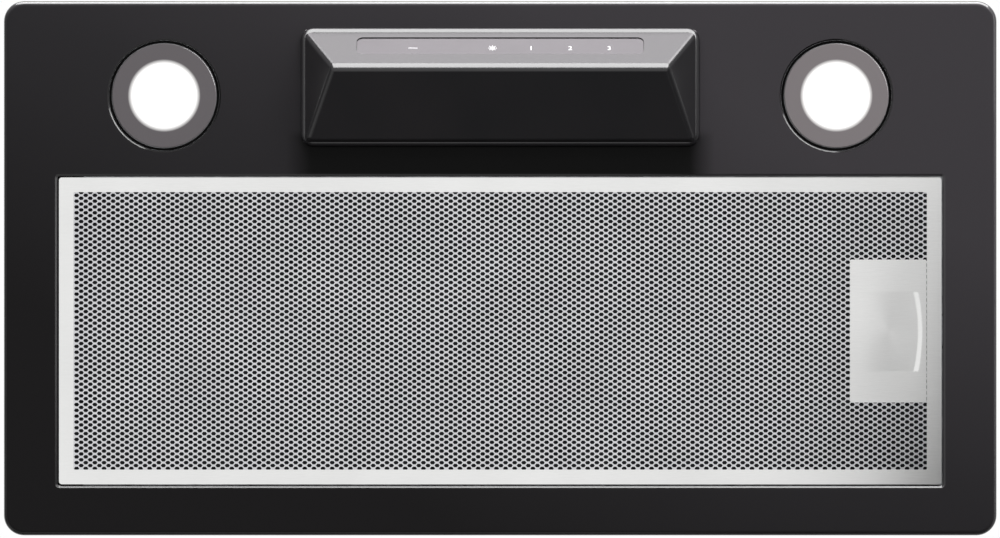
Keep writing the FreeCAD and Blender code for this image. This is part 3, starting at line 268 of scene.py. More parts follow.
greyMouldingSettings = {"dark": (86, 88, 91), "light": (98, 100, 103), "toneScale": 14.0,
                        "grainScale": 1300.0, "smearScale": 60.0, "roughness": (0.42, 0.55),
                        "grainStrength": 0.4, "grainDepth": 0.07, **uncoated}
whiteMouldingSettings = {"dark": (214, 214, 211), "light": (226, 226, 223), "toneScale": 20.0,
                         "grainScale": 1400.0, "smearScale": 70.0, "roughness": (0.36, 0.46),
                         "grainStrength": 0.2, "grainDepth": 0.05, **uncoated, "specular": 0.45}
rubberSettings = {"dark": (24, 24, 25), "light": (33, 33, 34), "toneScale": 60.0,
                  "grainScale": 1800.0, "smearScale": 120.0, "roughness": (0.7, 0.82),
                  "grainStrength": 0.5, "grainDepth": 0.08, **uncoated, "specular": 0.3}
castSettings = {"dark": (150, 151, 154), "light": (176, 177, 180), "toneScale": 40.0,
                "grainScale": 1100.0, "smearScale": 90.0, "roughness": (0.45, 0.6),
                "grainStrength": 0.6, "grainDepth": 0.12, **uncoated, "specular": 0.5}
frameSettings = {"dark": (234, 234, 233), "light": (246, 246, 245), "streak": (3, 60, 60),
                 "streakScale": 55.0, "cloudScale": 12.0, "roughness": (0.30, 0.38),
                 "streakStrength": 0.10, "streakDepth": 0.02, "anisotropic": 0.3}
sheetSettings = {"dark": (208, 208, 211), "light": (226, 226, 229), "streak": (1, 1, 1),
                 "streakScale": 420.0, "cloudScale": 25.0, "roughness": (0.28, 0.42),
                 "streakStrength": 0.2, "streakDepth": 0.04, "anisotropic": 0.0}
# inner mesh pack and fleece: painted shade, a dark aluminium that stands in for the shade inside the filter
# behind the perforated sheets
innerShadeSettings = {"dark": (26, 26, 28), "light": (44, 44, 46), "streak": (1, 1, 1),
                     "streakScale": 300.0, "cloudScale": 30.0, "roughness": (0.45, 0.6),
                     "streakStrength": 0.4, "streakDepth": 0.08, "anisotropic": 0.0}
springSettings = {"dark": (150, 152, 156), "light": (182, 184, 188), "streak": (40, 3, 40),
                  "streakScale": 40.0, "cloudScale": 40.0, "roughness": (0.26, 0.36),
                  "streakStrength": 0.12, "streakDepth": 0.02, "anisotropic": 0.3}
fixingSettings = {"dark": (172, 172, 166), "light": (204, 204, 198), "streak": (1, 1, 1),
                  "streakScale": 300.0, "cloudScale": 90.0, "roughness": (0.22, 0.38),
                  "streakStrength": 0.15, "streakDepth": 0.03, "anisotropic": 0.0}
zincSettings = {"dark": (188, 191, 194), "light": (212, 214, 217), "spangleScale": 170.0,
                "roughness": (0.36, 0.46), "cloudScale": 16.0, "patchShare": 0.7, "rolled": (1, 1, 9),
                "markScale": 260.0, "markStrength": 0.12, "markDepth": 0.05}


def pressedPaint(name, s):
    # powder paint on pressed sheet: painted light makes its tone lighter towards +X and towards -Y, random
    # tone clouds lie over that, a painted shadow darkens it behind the console, and the paint is thin and
    # glossy on the bends
    material, tree, shader = newMaterial(name)
    where = place(tree)
    axes = addNode(tree, "SeparateXYZ", {0: where})
    # painted light: a straight gradient along X and Y, with random tone clouds added
    paintedLightAndTone = maths(tree, "MULTIPLY_ADD", axes.outputs[0], s["across"], s["start"])
    paintedLightAndTone = maths(tree, "MULTIPLY_ADD", axes.outputs[1], s["along"], paintedLightAndTone)
    paintedLightAndTone = maths(tree, "MULTIPLY_ADD", noise(tree, where, s["cloudScale"], 3.0), s["cloud"], paintedLightAndTone)
    paintedLightAndTone = maths(tree, "SUBTRACT", paintedLightAndTone, s["cloud"] / 2)
    colour = shades(tree, paintedLightAndTone, [(0.0, screenColour(*s["corner"])), (0.5, screenColour(*s["middle"])),
                                  (1.0, screenColour(*s["far"]))])
    in0, in1, front0, front1, back0, back1 = [v * mm for v in s["shade"]]
    sides = spread(tree, maths(tree, "ABSOLUTE", axes.outputs[0]), 1.0, 0.0, in0, in1)
    ends = maths(tree, "MULTIPLY", spread(tree, axes.outputs[1], 0.0, 1.0, front0, front1),
                 spread(tree, axes.outputs[1], 1.0, 0.0, back0, back1))
    # painted shadow of the console on the panel: a soft-edged box behind it mixed towards the darkest colour
    shade = maths(tree, "MULTIPLY", sides, ends)
    colour = addNode(tree, "Mix", {0: shade, 6: colour, 7: screenColour(*s["paintedShadowColour"])},
                     data_type="RGBA").outputs[2]
    grain = noise(tree, where, s["grainScale"], 2.0)
    smear = noise(tree, where, s["smearScale"], 3.0)
    wire(tree, shader, {"Base Color": colour, "Roughness": spread(tree, smear, *s["roughness"]),
                        "Specular IOR Level": s["specular"],
                        "Coat Weight": bends(tree, s["edgeFrom"], s["edgeTo"]),
                        "Coat Roughness": s["edgeRoughness"], "Coat IOR": s["edgeIor"],
                        "Normal": bump(tree, grain, s["grainStrength"], s["grainDepth"] * mm)})
    return material


def mattRear(material, s):
    # the moulding is polished on the cook's side and its ridge, and grained on its rear slope
    tree = material.node_tree
    weight = spread(tree, facing(tree, 1), s["coat"], s["matt"], *s["mattFacing"])
    tree.links.new(weight, tree.nodes["Principled BSDF"].inputs["Coat Weight"])


def laminatedSteel(name, s):
    # stacked laminations: fine bands across the shaft's direction
    material, tree, shader = newMaterial(name)
    where = place(tree)
    bands = addNode(tree, "TexWave", {"Vector": where, "Scale": s["bandScale"], "Distortion": 0.4,
                                      "Detail": 1.0}, bands_direction="X").outputs[1]
    stain = noise(tree, where, s["stainScale"], 3.0)
    wire(tree, shader, {"Base Color": darkToLight(tree, stain, s), "Metallic": 1.0,
                        "Roughness": spread(tree, stain, *s["roughness"]),
                        "Normal": bump(tree, bands, 0.4, s["bandDepth"] * mm)})
    return material


def woundCopper(name, s):
    # enamelled wire laid round the shaft: rings of wire by distance from the shaft's line
    material, tree, shader = newMaterial(name)
    spot = place(tree, move=(0, -s["shaftY"], -s["shaftZ"]))
    strands = addNode(tree, "TexWave", {"Vector": spot, "Scale": s["wireScale"], "Distortion": 1.2,
                                        "Detail": 2.0, "Detail Scale": 3.0}, wave_type="RINGS",
                      rings_direction="X").outputs[1]
    wire(tree, shader, {"Base Color": darkToLight(tree, strands, s, 0.1, 0.8), "Metallic": 0.8,
                        "Roughness": spread(tree, strands, *s["roughness"]),
                        "Normal": bump(tree, strands, 0.7, s["wireDepth"] * mm), "Coat Weight": 0.4,
                        "Coat Roughness": 0.2})
    return material


def boardFinish(name, s):
    # green lacquer over copper tracks that run square to each other
    material, tree, shader = newMaterial(name)
    where = place(tree)
    tracks = addNode(tree, "TexBrick", {"Vector": where, "Scale": s["trackScale"],
                                        "Mortar Size": s["trackWidth"],
                                        "Color1": screenColour(*s["lacquer"]),
                                        "Color2": screenColour(*s["lacquerTwo"]),
                                        "Mortar": screenColour(*s["track"])})
    speckle = noise(tree, where, s["speckleScale"], 2.0)
    wire(tree, shader, {"Base Color": tracks.outputs[0],
                        "Roughness": spread(tree, speckle, *s["roughness"]),
                        "Normal": bump(tree, tracks.outputs[1], 0.3, s["trackDepth"] * mm),
                        "Coat Weight": 0.5, "Coat Roughness": 0.15})
    return material


blackPaint = pressedPaint("satinBlackPaint", paintSettings)
consolePlastic = mouldedFinish("consolePlastic", consoleSettings)
mattRear(consolePlastic, consoleSettings)
windowPlastic = mouldedFinish("touchStripPlastic", windowSettings)
blackMoulding = mouldedFinish("blackMoulding", blackMouldingSettings)
greyMoulding = mouldedFinish("greyMoulding", greyMouldingSettings)
whiteMoulding = mouldedFinish("whiteMoulding", whiteMouldingSettings)
softRubber = mouldedFinish("softRubber", rubberSettings)
frameAluminium = brushedFinish("filterAluminium", frameSettings)
sheetAluminium = brushedFinish("perforatedAluminium", sheetSettings)
innerPaintedShade = brushedFinish("innerMeshPaintedShade", innerShadeSettings)
springSteel = brushedFinish("springSteel", springSettings)
zincFixing = brushedFinish("zincPlatedFixing", fixingSettings)
castAluminium = mouldedFinish("castAluminium", castSettings)
castAluminium.node_tree.nodes["Principled BSDF"].inputs["Metallic"].default_value = 0.85
zincSheet = spangledZinc("zincSheet", zincSettings)
statorSteel = laminatedSteel("laminatedSteel", {
    "bandScale": 320.0, "bandDepth": 0.08, "stainScale": 60.0, "roughness": (0.38, 0.52),
    "dark": (128, 130, 134), "light": (150, 152, 156)})
copperWire = woundCopper("copperWinding", {
    "shaftY": 0.03, "shaftZ": 0.098, "wireScale": 260.0, "wireDepth": 0.3, "roughness": (0.28, 0.42),
    "dark": (104, 48, 22), "light": (206, 122, 72)})
circuitBoard = boardFinish("circuitBoard", {
    "trackScale": 160.0, "trackWidth": 0.045, "trackDepth": 0.05, "speckleScale": 500.0,
    "roughness": (0.28, 0.4), "lacquer": (22, 84, 46), "lacquerTwo": (26, 94, 52),
    "track": (60, 128, 78)})

lampSettings = {
    "centreX": 177.3, "centreY": -91.1,
    "discRadius": 17.4, "softEdge": 1.8,
    # painted light: the right lamp's ring is lighter and the left lamp's ring is shaded
    "ringLeftPaintedShade": (98, 94, 97), "ringRightPaintedLight": (113, 108, 110),
    "litColour": (205, 204, 204), "glow": 1.15, "glowColour": (1, 1, 0.985, 1),
    "frostScale": 700.0, "roughness": (0.34, 0.44),
}


def lampLens(name, side, s):
    # frosted lens: lit disc in the middle with a soft edge, flat grey ring round it; the ring's grey is
    # painted light, lighter on the right lamp than on the left
    material, tree, shader = newMaterial(name)
    spot = addNode(tree, "TexCoord", {}).outputs["Object"]
    apart = addNode(tree, "VectorMath", {0: spot, 1: (side * s["centreX"] * mm, s["centreY"] * mm, 0)},
                    operation="SUBTRACT").outputs[0]
    lit = spread(tree, flatDistance(tree, apart), 1.0, 0.0, (s["discRadius"] - s["softEdge"]) * mm,
                 (s["discRadius"] + s["softEdge"]) * mm)
    frost = noise(tree, place(tree), s["frostScale"], 2.0)
    # painted light: the ring's grey depends on which side the lamp is on
    ring = screenColour(*(s["ringLeftPaintedShade"] if side < 0 else s["ringRightPaintedLight"]))
    colour = shades(tree, lit, [(0.0, ring), (1.0, screenColour(*s["litColour"]))])
    wire(tree, shader, {"Base Color": colour, "Roughness": spread(tree, frost, *s["roughness"]),
                        "Coat Weight": bends(tree, 0.97, 0.80), "Coat Roughness": 0.08, "Coat IOR": 1.7,
                        "Specular IOR Level": 0.25, "Emission Color": s["glowColour"],
                        "Emission Strength": maths(tree, "MULTIPLY", lit, s["glow"]),
                        "Normal": bump(tree, frost, 0.05, 0.02 * mm)})
    return material


def signGlow(name, strength):
    # lit marks behind the touch strip, slightly uneven
    material, tree, shader = newMaterial(name)
    patch = noise(tree, place(tree), 900.0, 2.0)
    colour = shades(tree, patch, [(0.2, screenColour(226, 226, 230)), (0.8, screenColour(255, 255, 255))])
    wire(tree, shader, {"Base Color": colour, "Roughness": 0.4, "Emission Color": colour,
                        "Emission Strength": strength})
    return material


lensLeft = lampLens("lampLensLeft", -1, lampSettings)
lensRight = lampLens("lampLensRight", 1, lampSettings)
signBright = signGlow("signBright", 0.85)
signDim = signGlow("signDim", 0.12)

finishOfSlot = {
    "black_paint": blackPaint, "zinc_sheet": zincSheet, "console_plastic": consolePlastic,
    "window_plastic": windowPlastic, "lens_plastic": lensLeft, "filter_aluminium": frameAluminium,
    "mesh_aluminium": sheetAluminium, "spring_steel": springSteel, "zinc_fixings": zincFixing,
    "die_cast": castAluminium, "white_plastic": whiteMoulding, "black_plastic": blackMoulding,
    "grey_plastic": greyMoulding, "circuit_board": circuitBoard, "stator_steel": statorSteel,
    "copper_wire": copperWire, "rubber": softRubber,
}
finishOfNode = {"lamp_lens_right": lensRight, "filter_mesh_pack": innerPaintedShade,
                "filter_hinge_pins": blackMoulding}

# the finishes go on every part carried over from the frame
for entry in frame["record"]["subparts"]:
    finish = finishOfNode.get(entry["node"], finishOfSlot[entry["material_slot"]])
    part = nodes[entry["node"]]
    if not part.material_slots:
        part.data.materials.append(finish)
    for materialSlot in part.material_slots:
        materialSlot.material = finish
print("finishes on the carried-over parts")


# filter: fine perforated sheets, sizes in mm
frontSheetSettings = {
    "firstX": -223.5, "firstY": -38.5,       # middle of the first whole hole
    "halfPitchX": 2.4075, "halfPitchY": 1.533,
    "holeX": 1.36, "holeY": 0.93,            # half width and half height of a hole
    "holeShoulder": 0.70,                    # half length of its flat top
    "front": -7.1, "back": -6.6,
    "window": (-225.05, 225.05, -40.2, 106.2),
    "margin": 1.9, "holeMargin": 0.55, "leftInset": 0.4,
    "notch": (189.0, 222.2, 12.0, 55.0),     # free of mesh: the latch
    "left": -300.0, "seam": 0.0, "right": 300.0,
}


def perforatedSheet(name, s, lowX, highX, material, node):
    # Staggered holes: every cell is the six-sided field nearer to its own hole than to any other.
    # Its ring joins six field corners to six hole corners, front and back, with walls between.
    stepX, stepY = s["halfPitchX"], s["halfPitchY"]
    left, right, low, high = s["window"]
    i = np.arange(math.floor((left - s["firstX"]) / stepX) - 1,
                  math.ceil((right - s["firstX"]) / stepX) + 2)
    j = np.arange(math.floor((low - s["firstY"]) / stepY) - 1,
                  math.ceil((high - s["firstY"]) / stepY) + 2)
    i, j = np.meshgrid(i, j, indexing="ij")
    keep = (i + j) % 2 == 0
    cx, cy = s["firstX"] + i[keep] * stepX, s["firstY"] + j[keep] * stepY
    m = s["margin"]
    inside = (cx > left - m) & (cx < right + m) & (cy > low - m) & (cy < high + m)
    inside &= (cx >= lowX) & (cx < highX)
    nx0, nx1, ny0, ny1 = s["notch"]
    inside &= ~((cx > nx0) & (cx < nx1) & (cy > ny0) & (cy < ny1))
    cx, cy = cx[inside], cy[inside]
    h = s["holeMargin"]
    holed = (cx > left - h + s["leftInset"]) & (cx < right + h) & (cy > low - h) & (cy < high + h)

    near = (stepX ** 2 - stepY ** 2) / (2 * stepX)      # from a field's middle to its upper corners
    far = stepX - near
    fieldX = np.array([far, near, -near, -far, -near, near])
    fieldY = np.array([0, stepY, stepY, 0, -stepY, -stepY])
    holeX = np.array([s["holeX"], s["holeShoulder"], -s["holeShoulder"], -s["holeX"],
                      -s["holeShoulder"], s["holeShoulder"]])
    holeY = np.array([0, s["holeY"], s["holeY"], 0, -s["holeY"], -s["holeY"]])

    fields = np.stack([cx[:, None] + fieldX, cy[:, None] + fieldY], axis=-1)
    flatFields = np.round(fields.reshape(-1, 2), 3)
    shared, which = np.unique(flatFields, axis=0, return_inverse=True)
    which = which.reshape(-1, 6)
    holes = np.stack([cx[holed, None] + holeX, cy[holed, None] + holeY], axis=-1).reshape(-1, 2)
    shareCount, holeCount = len(shared), len(holes)
    level = np.concatenate([shared, holes])
    count = len(level)
    points = np.concatenate([np.column_stack([level, np.full(count, s["front"])]),
                             np.column_stack([level, np.full(count, s["back"])])]) * mm

    outer = which[holed]
    inner = shareCount + np.arange(holeCount).reshape(-1, 6)
    turn = np.roll(np.arange(6), -1)
    # seen from below the front is at low z, so its corners run clockwise in x and y
    front = np.stack([outer, inner, inner[:, turn], outer[:, turn]], axis=-1).reshape(-1, 4)
    back = front[:, ::-1] + count
    walls = np.stack([inner, inner + count, inner[:, turn] + count, inner[:, turn]], axis=-1)
    walls = walls.reshape(-1, 4)
    plain = which[~holed]
    plainFront, plainBack = plain[:, ::-1], plain + count
    edges = np.stack([which, which[:, turn]], axis=-1).reshape(-1, 2)
    key = np.sort(edges, axis=1)
    _, firstOf, times = np.unique(key, axis=0, return_index=True, return_counts=True)
    rim = edges[firstOf[times == 1]]
    rimWalls = np.stack([rim[:, 0], rim[:, 1], rim[:, 1] + count, rim[:, 0] + count], axis=-1)
    sets = [front, back, walls, rimWalls] + ([plainFront, plainBack] if len(plain) else [])
    piece = meshPiece(name, points, sets, material, "filter", smooth=False)
    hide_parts(node)
    print(name, int(holed.sum()), "holes,", len(piece.data.polygons), "faces")


perforatedSheet("filterFrontSheetLeft", frontSheetSettings, frontSheetSettings["left"],
                frontSheetSettings["seam"], sheetAluminium, "filter_front_sheet")
perforatedSheet("filterFrontSheetRight", frontSheetSettings, frontSheetSettings["seam"],
                frontSheetSettings["right"], sheetAluminium, "filter_front_sheet")
rearSheetSettings = {**frontSheetSettings, "firstX": -222.6, "firstY": -37.4,
                     "halfPitchX": 3.6, "halfPitchY": 2.3,
                     "holeX": 2.3, "holeY": 1.5, "holeShoulder": 1.15, "front": -1.9, "back": -1.4,
                     "margin": 1.8, "notch": (182.0, 240.0, 8.5, 58.5)}
perforatedSheet("filterRearSheet", rearSheetSettings, rearSheetSettings["left"],
                rearSheetSettings["right"], sheetAluminium, "filter_rear_sheet")

# wire fleece between the coarse layers: air passes, but no straight look; it leaves the latch free; its dark
# finish is painted shade
fleeceSettings = {
    "low": -4.3, "high": -4.2,
    "boxes": [(-226.0, 184.6, -41.0, 107.0), (184.7, 226.0, -41.0, 9.5), (184.7, 226.0, 57.5, 107.0)],
}


def fleece(s, material):
    corners, faces = [], []
    cube = np.array([[0, 3, 2, 1], [4, 5, 6, 7], [0, 1, 5, 4],
                     [1, 2, 6, 5], [2, 3, 7, 6], [3, 0, 4, 7]])
    for number, (x0, x1, y0, y1) in enumerate(s["boxes"]):
        for z in (s["low"], s["high"]):
            corners += [(x0, y0, z), (x1, y0, z), (x1, y1, z), (x0, y1, z)]
        faces.append(cube + 8 * number)
    meshPiece("filterFleece", np.array(corners) * mm, faces, material, "filter",
              smooth=False)


fleece(fleeceSettings, innerPaintedShade)

# latch plate: one pressed sheet with a finger scoop whose floor sinks slowly and ends in a wide arc
latchSettings = {
    "left": 184.5, "right": 224.8, "front": -4.6, "back": 70.8, "corner": 0.8, "low": -8.0, "thick": 0.6,
    "scoopLeft": 190.0, "wallRun": 0.9, "scoopRight": 222.1, "scoopFront": 12.5, "scoopBack": 54.4,
    "scoopDepth": 0.45, "arcRadius": 88.7,
    "endGap": 3.0, "bendSteps": 5, "endSteps": 8, "scoopSteps": 34, "rampSteps": 30,
}


def latchSurface(s, grow, lift):
    # rows run along Y, columns along X; inside the scoop the sheet is at low + depth * (3 t^2 - 2 t^3),
    # t is 0 at the scoop's left and 1 at its arc; grow widens the scoop for the sheet's other side
    y0, y1 = s["scoopFront"] - grow, s["scoopBack"] + grow
    bend = s["corner"] * (1 - np.cos(np.linspace(0, np.pi / 2, s["bendSteps"])))
    rows = np.concatenate([s["front"] + bend, np.linspace(s["front"] + s["endGap"], y0, s["endSteps"]),
                           [y0], np.linspace(y0, y1, s["scoopSteps"])[1:-1], [y1],
                           np.linspace(y1, s["back"] - s["endGap"], s["endSteps"]),
                           s["back"] - bend[::-1]])
    deep = np.zeros(len(rows))
    firstDeep = s["bendSteps"] + s["endSteps"]
    deep[firstDeep:firstDeep + s["scoopSteps"]] = 1
    middle = (s["scoopFront"] + s["scoopBack"]) / 2
    off = np.clip(rows, y0, y1) - middle
    arc = s["scoopRight"] - s["arcRadius"] + np.sqrt((s["arcRadius"] + grow) ** 2 - off ** 2)
    fromEnd = np.minimum(rows - s["front"], s["back"] - rows)
    short = np.maximum(s["corner"] - fromEnd, 0)
    nip = s["corner"] - np.sqrt(np.maximum(s["corner"] ** 2 - short ** 2, 0))
    x0, x1 = s["left"] + nip, s["right"] - nip
    t = np.linspace(0, 1, s["rampSteps"])
    start = s["scoopLeft"] - grow
    outer = x0[:, None] + (start - x0[:, None]) * np.linspace(0, 1, 8)[None, :-1]
    ramp = start + (arc[:, None] - s["wallRun"] - start) * t
    rest = arc[:, None] + (x1[:, None] - arc[:, None]) * np.linspace(0, 1, 5)[None, :]
    x = np.concatenate([outer, ramp, rest], axis=1)
    sink = s["scoopDepth"] * (3 * t ** 2 - 2 * t ** 3) * deep[:, None]
    z = np.zeros_like(x)
    z[:, outer.shape[1]:outer.shape[1] + len(t)] = sink
    y = np.repeat(rows[:, None], x.shape[1], axis=1)
    return np.stack([x, y, s["low"] + lift + z], axis=-1)


def latchPlate(s, material):
    under, upper = latchSurface(s, 0.0, 0.0), latchSurface(s, s["thick"], s["thick"])
    rows, columns = under.shape[:2]
    count = rows * columns
    faces = gridFaces(rows, columns)
    index = np.arange(count).reshape(rows, columns)
    ring = np.concatenate([index[0, :-1], index[:-1, -1], index[-1, :0:-1], index[:0:-1, 0]])
    after = np.roll(ring, -1)
    rim = np.stack([ring, ring + count, after + count, after], axis=-1)
    points = np.concatenate([under.reshape(-1, 3), upper.reshape(-1, 3)]) * mm
    piece = meshPiece("latchPlate", points, [faces, faces[:, ::-1] + count, rim], material, "latch")
    piece.data.set_sharp_from_angle(angle=math.radians(30))
    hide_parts("latch_handle")


latchPlate(latchSettings, frameAluminium)


def turnedRings(name, rings, steps, material, flip=False, smooth=True):
    # closed rings in one mesh; ring: its middle and a section of (distance, height) points that is
    # turned about the upright line there: (x + d cos a, y + d sin a, h)
    angle = np.linspace(0, 2 * np.pi, steps, endpoint=False)[:, None]
    points, faceSets = [], []
    for number, (middleX, middleY, section) in enumerate(rings):
        size = len(section)
        x = middleX + section[:, 0] * np.cos(angle)
        y = middleY + section[:, 0] * np.sin(angle)
        points.append(np.stack([x, y, section[:, 1] + 0 * angle], axis=-1).reshape(-1, 3))
        faces = gridFaces(steps, size, True, True, number * steps * size)
        faceSets.append(faces[:, ::-1] if flip else faces)
    return meshPiece(name, np.concatenate(points) * mm, faceSets, material, "housing", smooth)


def roundLamps(section):
    return [(side * lampSettings["centreX"], lampSettings["centreY"], np.array(section))
            for side in (-1, 1)]


# near-black ring at the bottom of the gap round each lamp glass: painted shade over the lamp's flange
gapSettings = {"section": [(27.7, -7.0), (29.1, -7.0), (29.1, -6.82), (27.7, -6.82)], "steps": 72}
lampGapPaintedShade = mouldedFinish("lampGapPaintedShade", {**rubberSettings, "dark": (3, 3, 3), "light": (7, 7, 7),
                                      "specular": 0.1})
turnedRings("lampGaps", roundLamps(gapSettings["section"]), gapSettings["steps"], lampGapPaintedShade,
            smooth=False)

# bright outer edge of each lamp hole: a thin ring whose inner face slopes towards the glass
rimSettings = {"section": [(30.08, -8.02), (30.08, -7.7), (29.45, -7.62)], "steps": 96, "sharp": 30.0}
rimBlack = mouldedFinish("rimBlack", {**rubberSettings, "dark": (5, 5, 5), "light": (9, 9, 9),
                                      "specular": 0.1, "grainStrength": 0.05, "coat": 1.0,
                                      "coatRoughness": 0.12})
lampRims = turnedRings("lampRims", roundLamps(rimSettings["section"]), rimSettings["steps"], rimBlack,
                       flip=True)
lampRims.data.set_sharp_from_angle(angle=math.radians(rimSettings["sharp"]))
print("latch plate, lamp gaps and lamp rims")


# pressed and fixed details on the body, sizes in mm
bodySettings = {
    "wallX": 244.0, "wallY": 123.0, "roof": 180.0, "sunk": 0.4,
    # beads: face, middle along the face, middle up the face, half length, half width, height
    "beads": [("front", 0, 96, 190, 4.5, 1.4), ("front", 0, 142, 190, 4.5, 1.4),
              ("rear", 0, 96, 190, 4.5, 1.4), ("rear", 0, 142, 190, 4.5, 1.4),
              ("left", 0, 100, 88, 4.5, 1.4), ("left", 0, 140, 88, 4.5, 1.4),
              ("right", 0, 100, 88, 4.5, 1.4), ("right", 0, 140, 88, 4.5, 1.4),
              ("roof", -160, -70, 50, 4.5, 1.4), ("roof", -160, -15, 50, 4.5, 1.4),
              ("roof", -160, 40, 50, 4.5, 1.4), ("roof", -40, 96, 150, 4.5, 1.4)],
    "weldRadius": 2.9, "weldHeight": 0.35, "weldStep": 26.0, "weldLow": 20.0, "weldHigh": 170.0,
    "lapInset": 9.0, "lapMiddle": 88.0, "lapHalf": 82.0, "lapWidth": 6.5, "lapLow": 0.75, "lapThick": 0.8,
}


def faceFrame(face, s):
    # middle of a face of the body, its own two directions and its outward direction
    frames = {"front": ((0, -s["wallY"], 0), (1, 0, 0), (0, 0, 1), (0, -1, 0)),
              "rear": ((0, s["wallY"], 0), (-1, 0, 0), (0, 0, 1), (0, 1, 0)),
              "left": ((-s["wallX"], 0, 0), (0, -1, 0), (0, 0, 1), (-1, 0, 0)),
              "right": ((s["wallX"], 0, 0), (0, 1, 0), (0, 0, 1), (1, 0, 0)),
              "roof": ((0, 0, s["roof"]), (1, 0, 0), (0, 1, 0), (0, 0, 1))}
    return [np.array(v, float) for v in frames[face]]


def moundPoints(frame, along, up, half, width, profile, sunk, steps=24):
    # rings round a straight core of length 2 half: ring k lies at width * reach, lifted by its height
    origin, u, v, out = frame
    turn = np.arange(steps) * 2 * np.pi / steps + np.pi / steps
    core = np.where(np.cos(turn) > 0, half, -half)
    rings = []
    for reach, height in [(1.0, -sunk)] + profile:      # the first ring lies inside the wall
        a = along + core + width * reach * np.cos(turn)
        b = up + width * reach * np.sin(turn)
        rings.append(origin + a[:, None] * u + b[:, None] * v + height * out)
    return np.concatenate(rings)


def mounds(name, items, steps, material, body):
    # several closed mounds in one mesh; items: (frame, along, up, half, width, profile, sunk)
    points, quads, caps, start = [], [], [], 0
    for item in items:
        ringCount = len(item[5]) + 1
        points.append(moundPoints(*item, steps=steps))
        quads.append(gridFaces(ringCount, steps, False, True, start)[:, ::-1])
        caps.append(start + np.arange(steps)[None, ::-1])
        caps.append(start + (ringCount - 1) * steps + np.arange(steps)[None, :])
        start += ringCount * steps
    piece = meshPiece(name, np.concatenate(points) * mm, quads + caps, material, body)
    piece.data.set_sharp_from_angle(angle=math.radians(40))


def bodyBeads(s):
    # pressed bead: height H cos^2(pi r / 2) at the share r of its half width
    reach = np.linspace(1, 0.02, 9)
    items = []
    for face, along, up, half, width, height in s["beads"]:
        profile = [(r, height * math.cos(math.pi * r / 2) ** 2) for r in reach]
        items.append((faceFrame(face, s), along, up, half, width, profile, s["sunk"]))
    mounds("bodyBeads", items, 24, zincSheet, "housing")


def acrossFrame(frame):
    # the same face of the body with its own two directions turned by a quarter
    return [frame[0], frame[2], -frame[1], frame[3]]


def bodySeams(s):
    # a folded lap along both ends of the front and rear walls, with spot welds down its middle
    laps, welds = [], []
    top = s["lapThick"]
    flat = [(1.0, s["lapLow"]), (0.93, top)]
    dish = [(1.0, top), (0.8, top + s["weldHeight"]), (0.55, top + s["weldHeight"] * 0.6), (0.3, top)]
    for face in ("front", "rear"):
        plane = faceFrame(face, s)
        for side in (-1, 1):
            at = side * (s["wallX"] - s["lapInset"])
            laps.append((acrossFrame(plane), s["lapMiddle"], -at, s["lapHalf"], s["lapWidth"], flat,
                         s["sunk"]))
            for up in np.arange(s["weldLow"], s["weldHigh"], s["weldStep"]):
                welds.append((plane, at, up, 0.0, s["weldRadius"], dish, s["sunk"]))
    mounds("bodySeams", laps, 24, zincSheet, "housing")
    mounds("spotWelds", welds, 20, zincSheet, "housing")


def screwHeads(name, items, s, material, darkMaterial):
    # pan heads with a cross slot; items: (frame, along, up)
    heads, slots = [], []
    dome = [(math.cos(a), s["height"] * math.sin(a) ** 0.7) for a in np.linspace(0.0, 1.45, 8)]
    top = s["height"] + 0.02
    bar = [(1.0, top), (0.6, top + 0.01)]
    for frame, along, up in items:
        heads.append((frame, along, up, 0.0, s["radius"], dome, s["sunk"]))
        for plane, a, b in ((frame, along, up), (acrossFrame(frame), up, -along)):
            slots.append((plane, a, b, s["slotHalf"], s["slotWidth"], bar, s["slotDeep"] - top))
    mounds(name, heads, 24, material, "housing")
    mounds(name + "Slots", slots, 12, darkMaterial, "housing")


bodyBeads(bodySettings)
bodySeams(bodySettings)
screwSettings = {"along": (-180.0, -60.0, 60.0, 180.0), "up": 57.6, "radius": 3.4, "height": 1.4,
                 "sunk": 0.4, "slotHalf": 1.4, "slotWidth": 0.4, "slotDeep": 0.3}
frontFrame = faceFrame("front", bodySettings)
screwHeads("frontScrews", [(frontFrame, x, screwSettings["up"]) for x in screwSettings["along"]],
           screwSettings, zincFixing, softRubber)
print("beads, seams, welds and front screws on the body")

# collar: rounded beads round the pipe that hold the duct, sections are circles
collarSettings = {"radius": 74.5, "middleY": -14.5, "heights": [190.0, 206.0], "bead": 1.3, "sunk": 0.2,
                  "steps": 96, "around": 12}


def collarBeads(s, material):
    a = np.linspace(0, 2 * np.pi, s["around"], endpoint=False)
    rings = []
    for height in s["heights"]:
        section = np.column_stack([s["radius"] - s["sunk"] + s["bead"] * np.cos(a),
                                   height + s["bead"] * np.sin(a)])
        rings.append((0.0, s["middleY"], section))
    turnedRings("collarBeads", rings, s["steps"], material)


collarBeads(collarSettings, blackMoulding)
print("beads on the collar")


# lit signs on the touch strip, sizes in mm
signSettings = {
    "middle": (0.0, -117.02, -19.20),       # middle of the console's front slope
    "lean": -48.28,                         # degrees the slope is turned about X
    "depth": 0.5, "proud": 0.06, "thick": 0.05,
    "along": 1.5,                           # up the slope from its middle
    "digitHeight": 3.1, "digitShare": 0.7,  # share of the type size that a digit fills
    "minus": (2.5, 0.28), "lampMiddle": 1.15, "lampRay": (0.38, 0.17), "rayReach": 1.85, "rays": 8,
    "places": {"minus": -45.9, "lamp": -4.1, "one": 16.2, "two": 36.7, "three": 57.2},
}


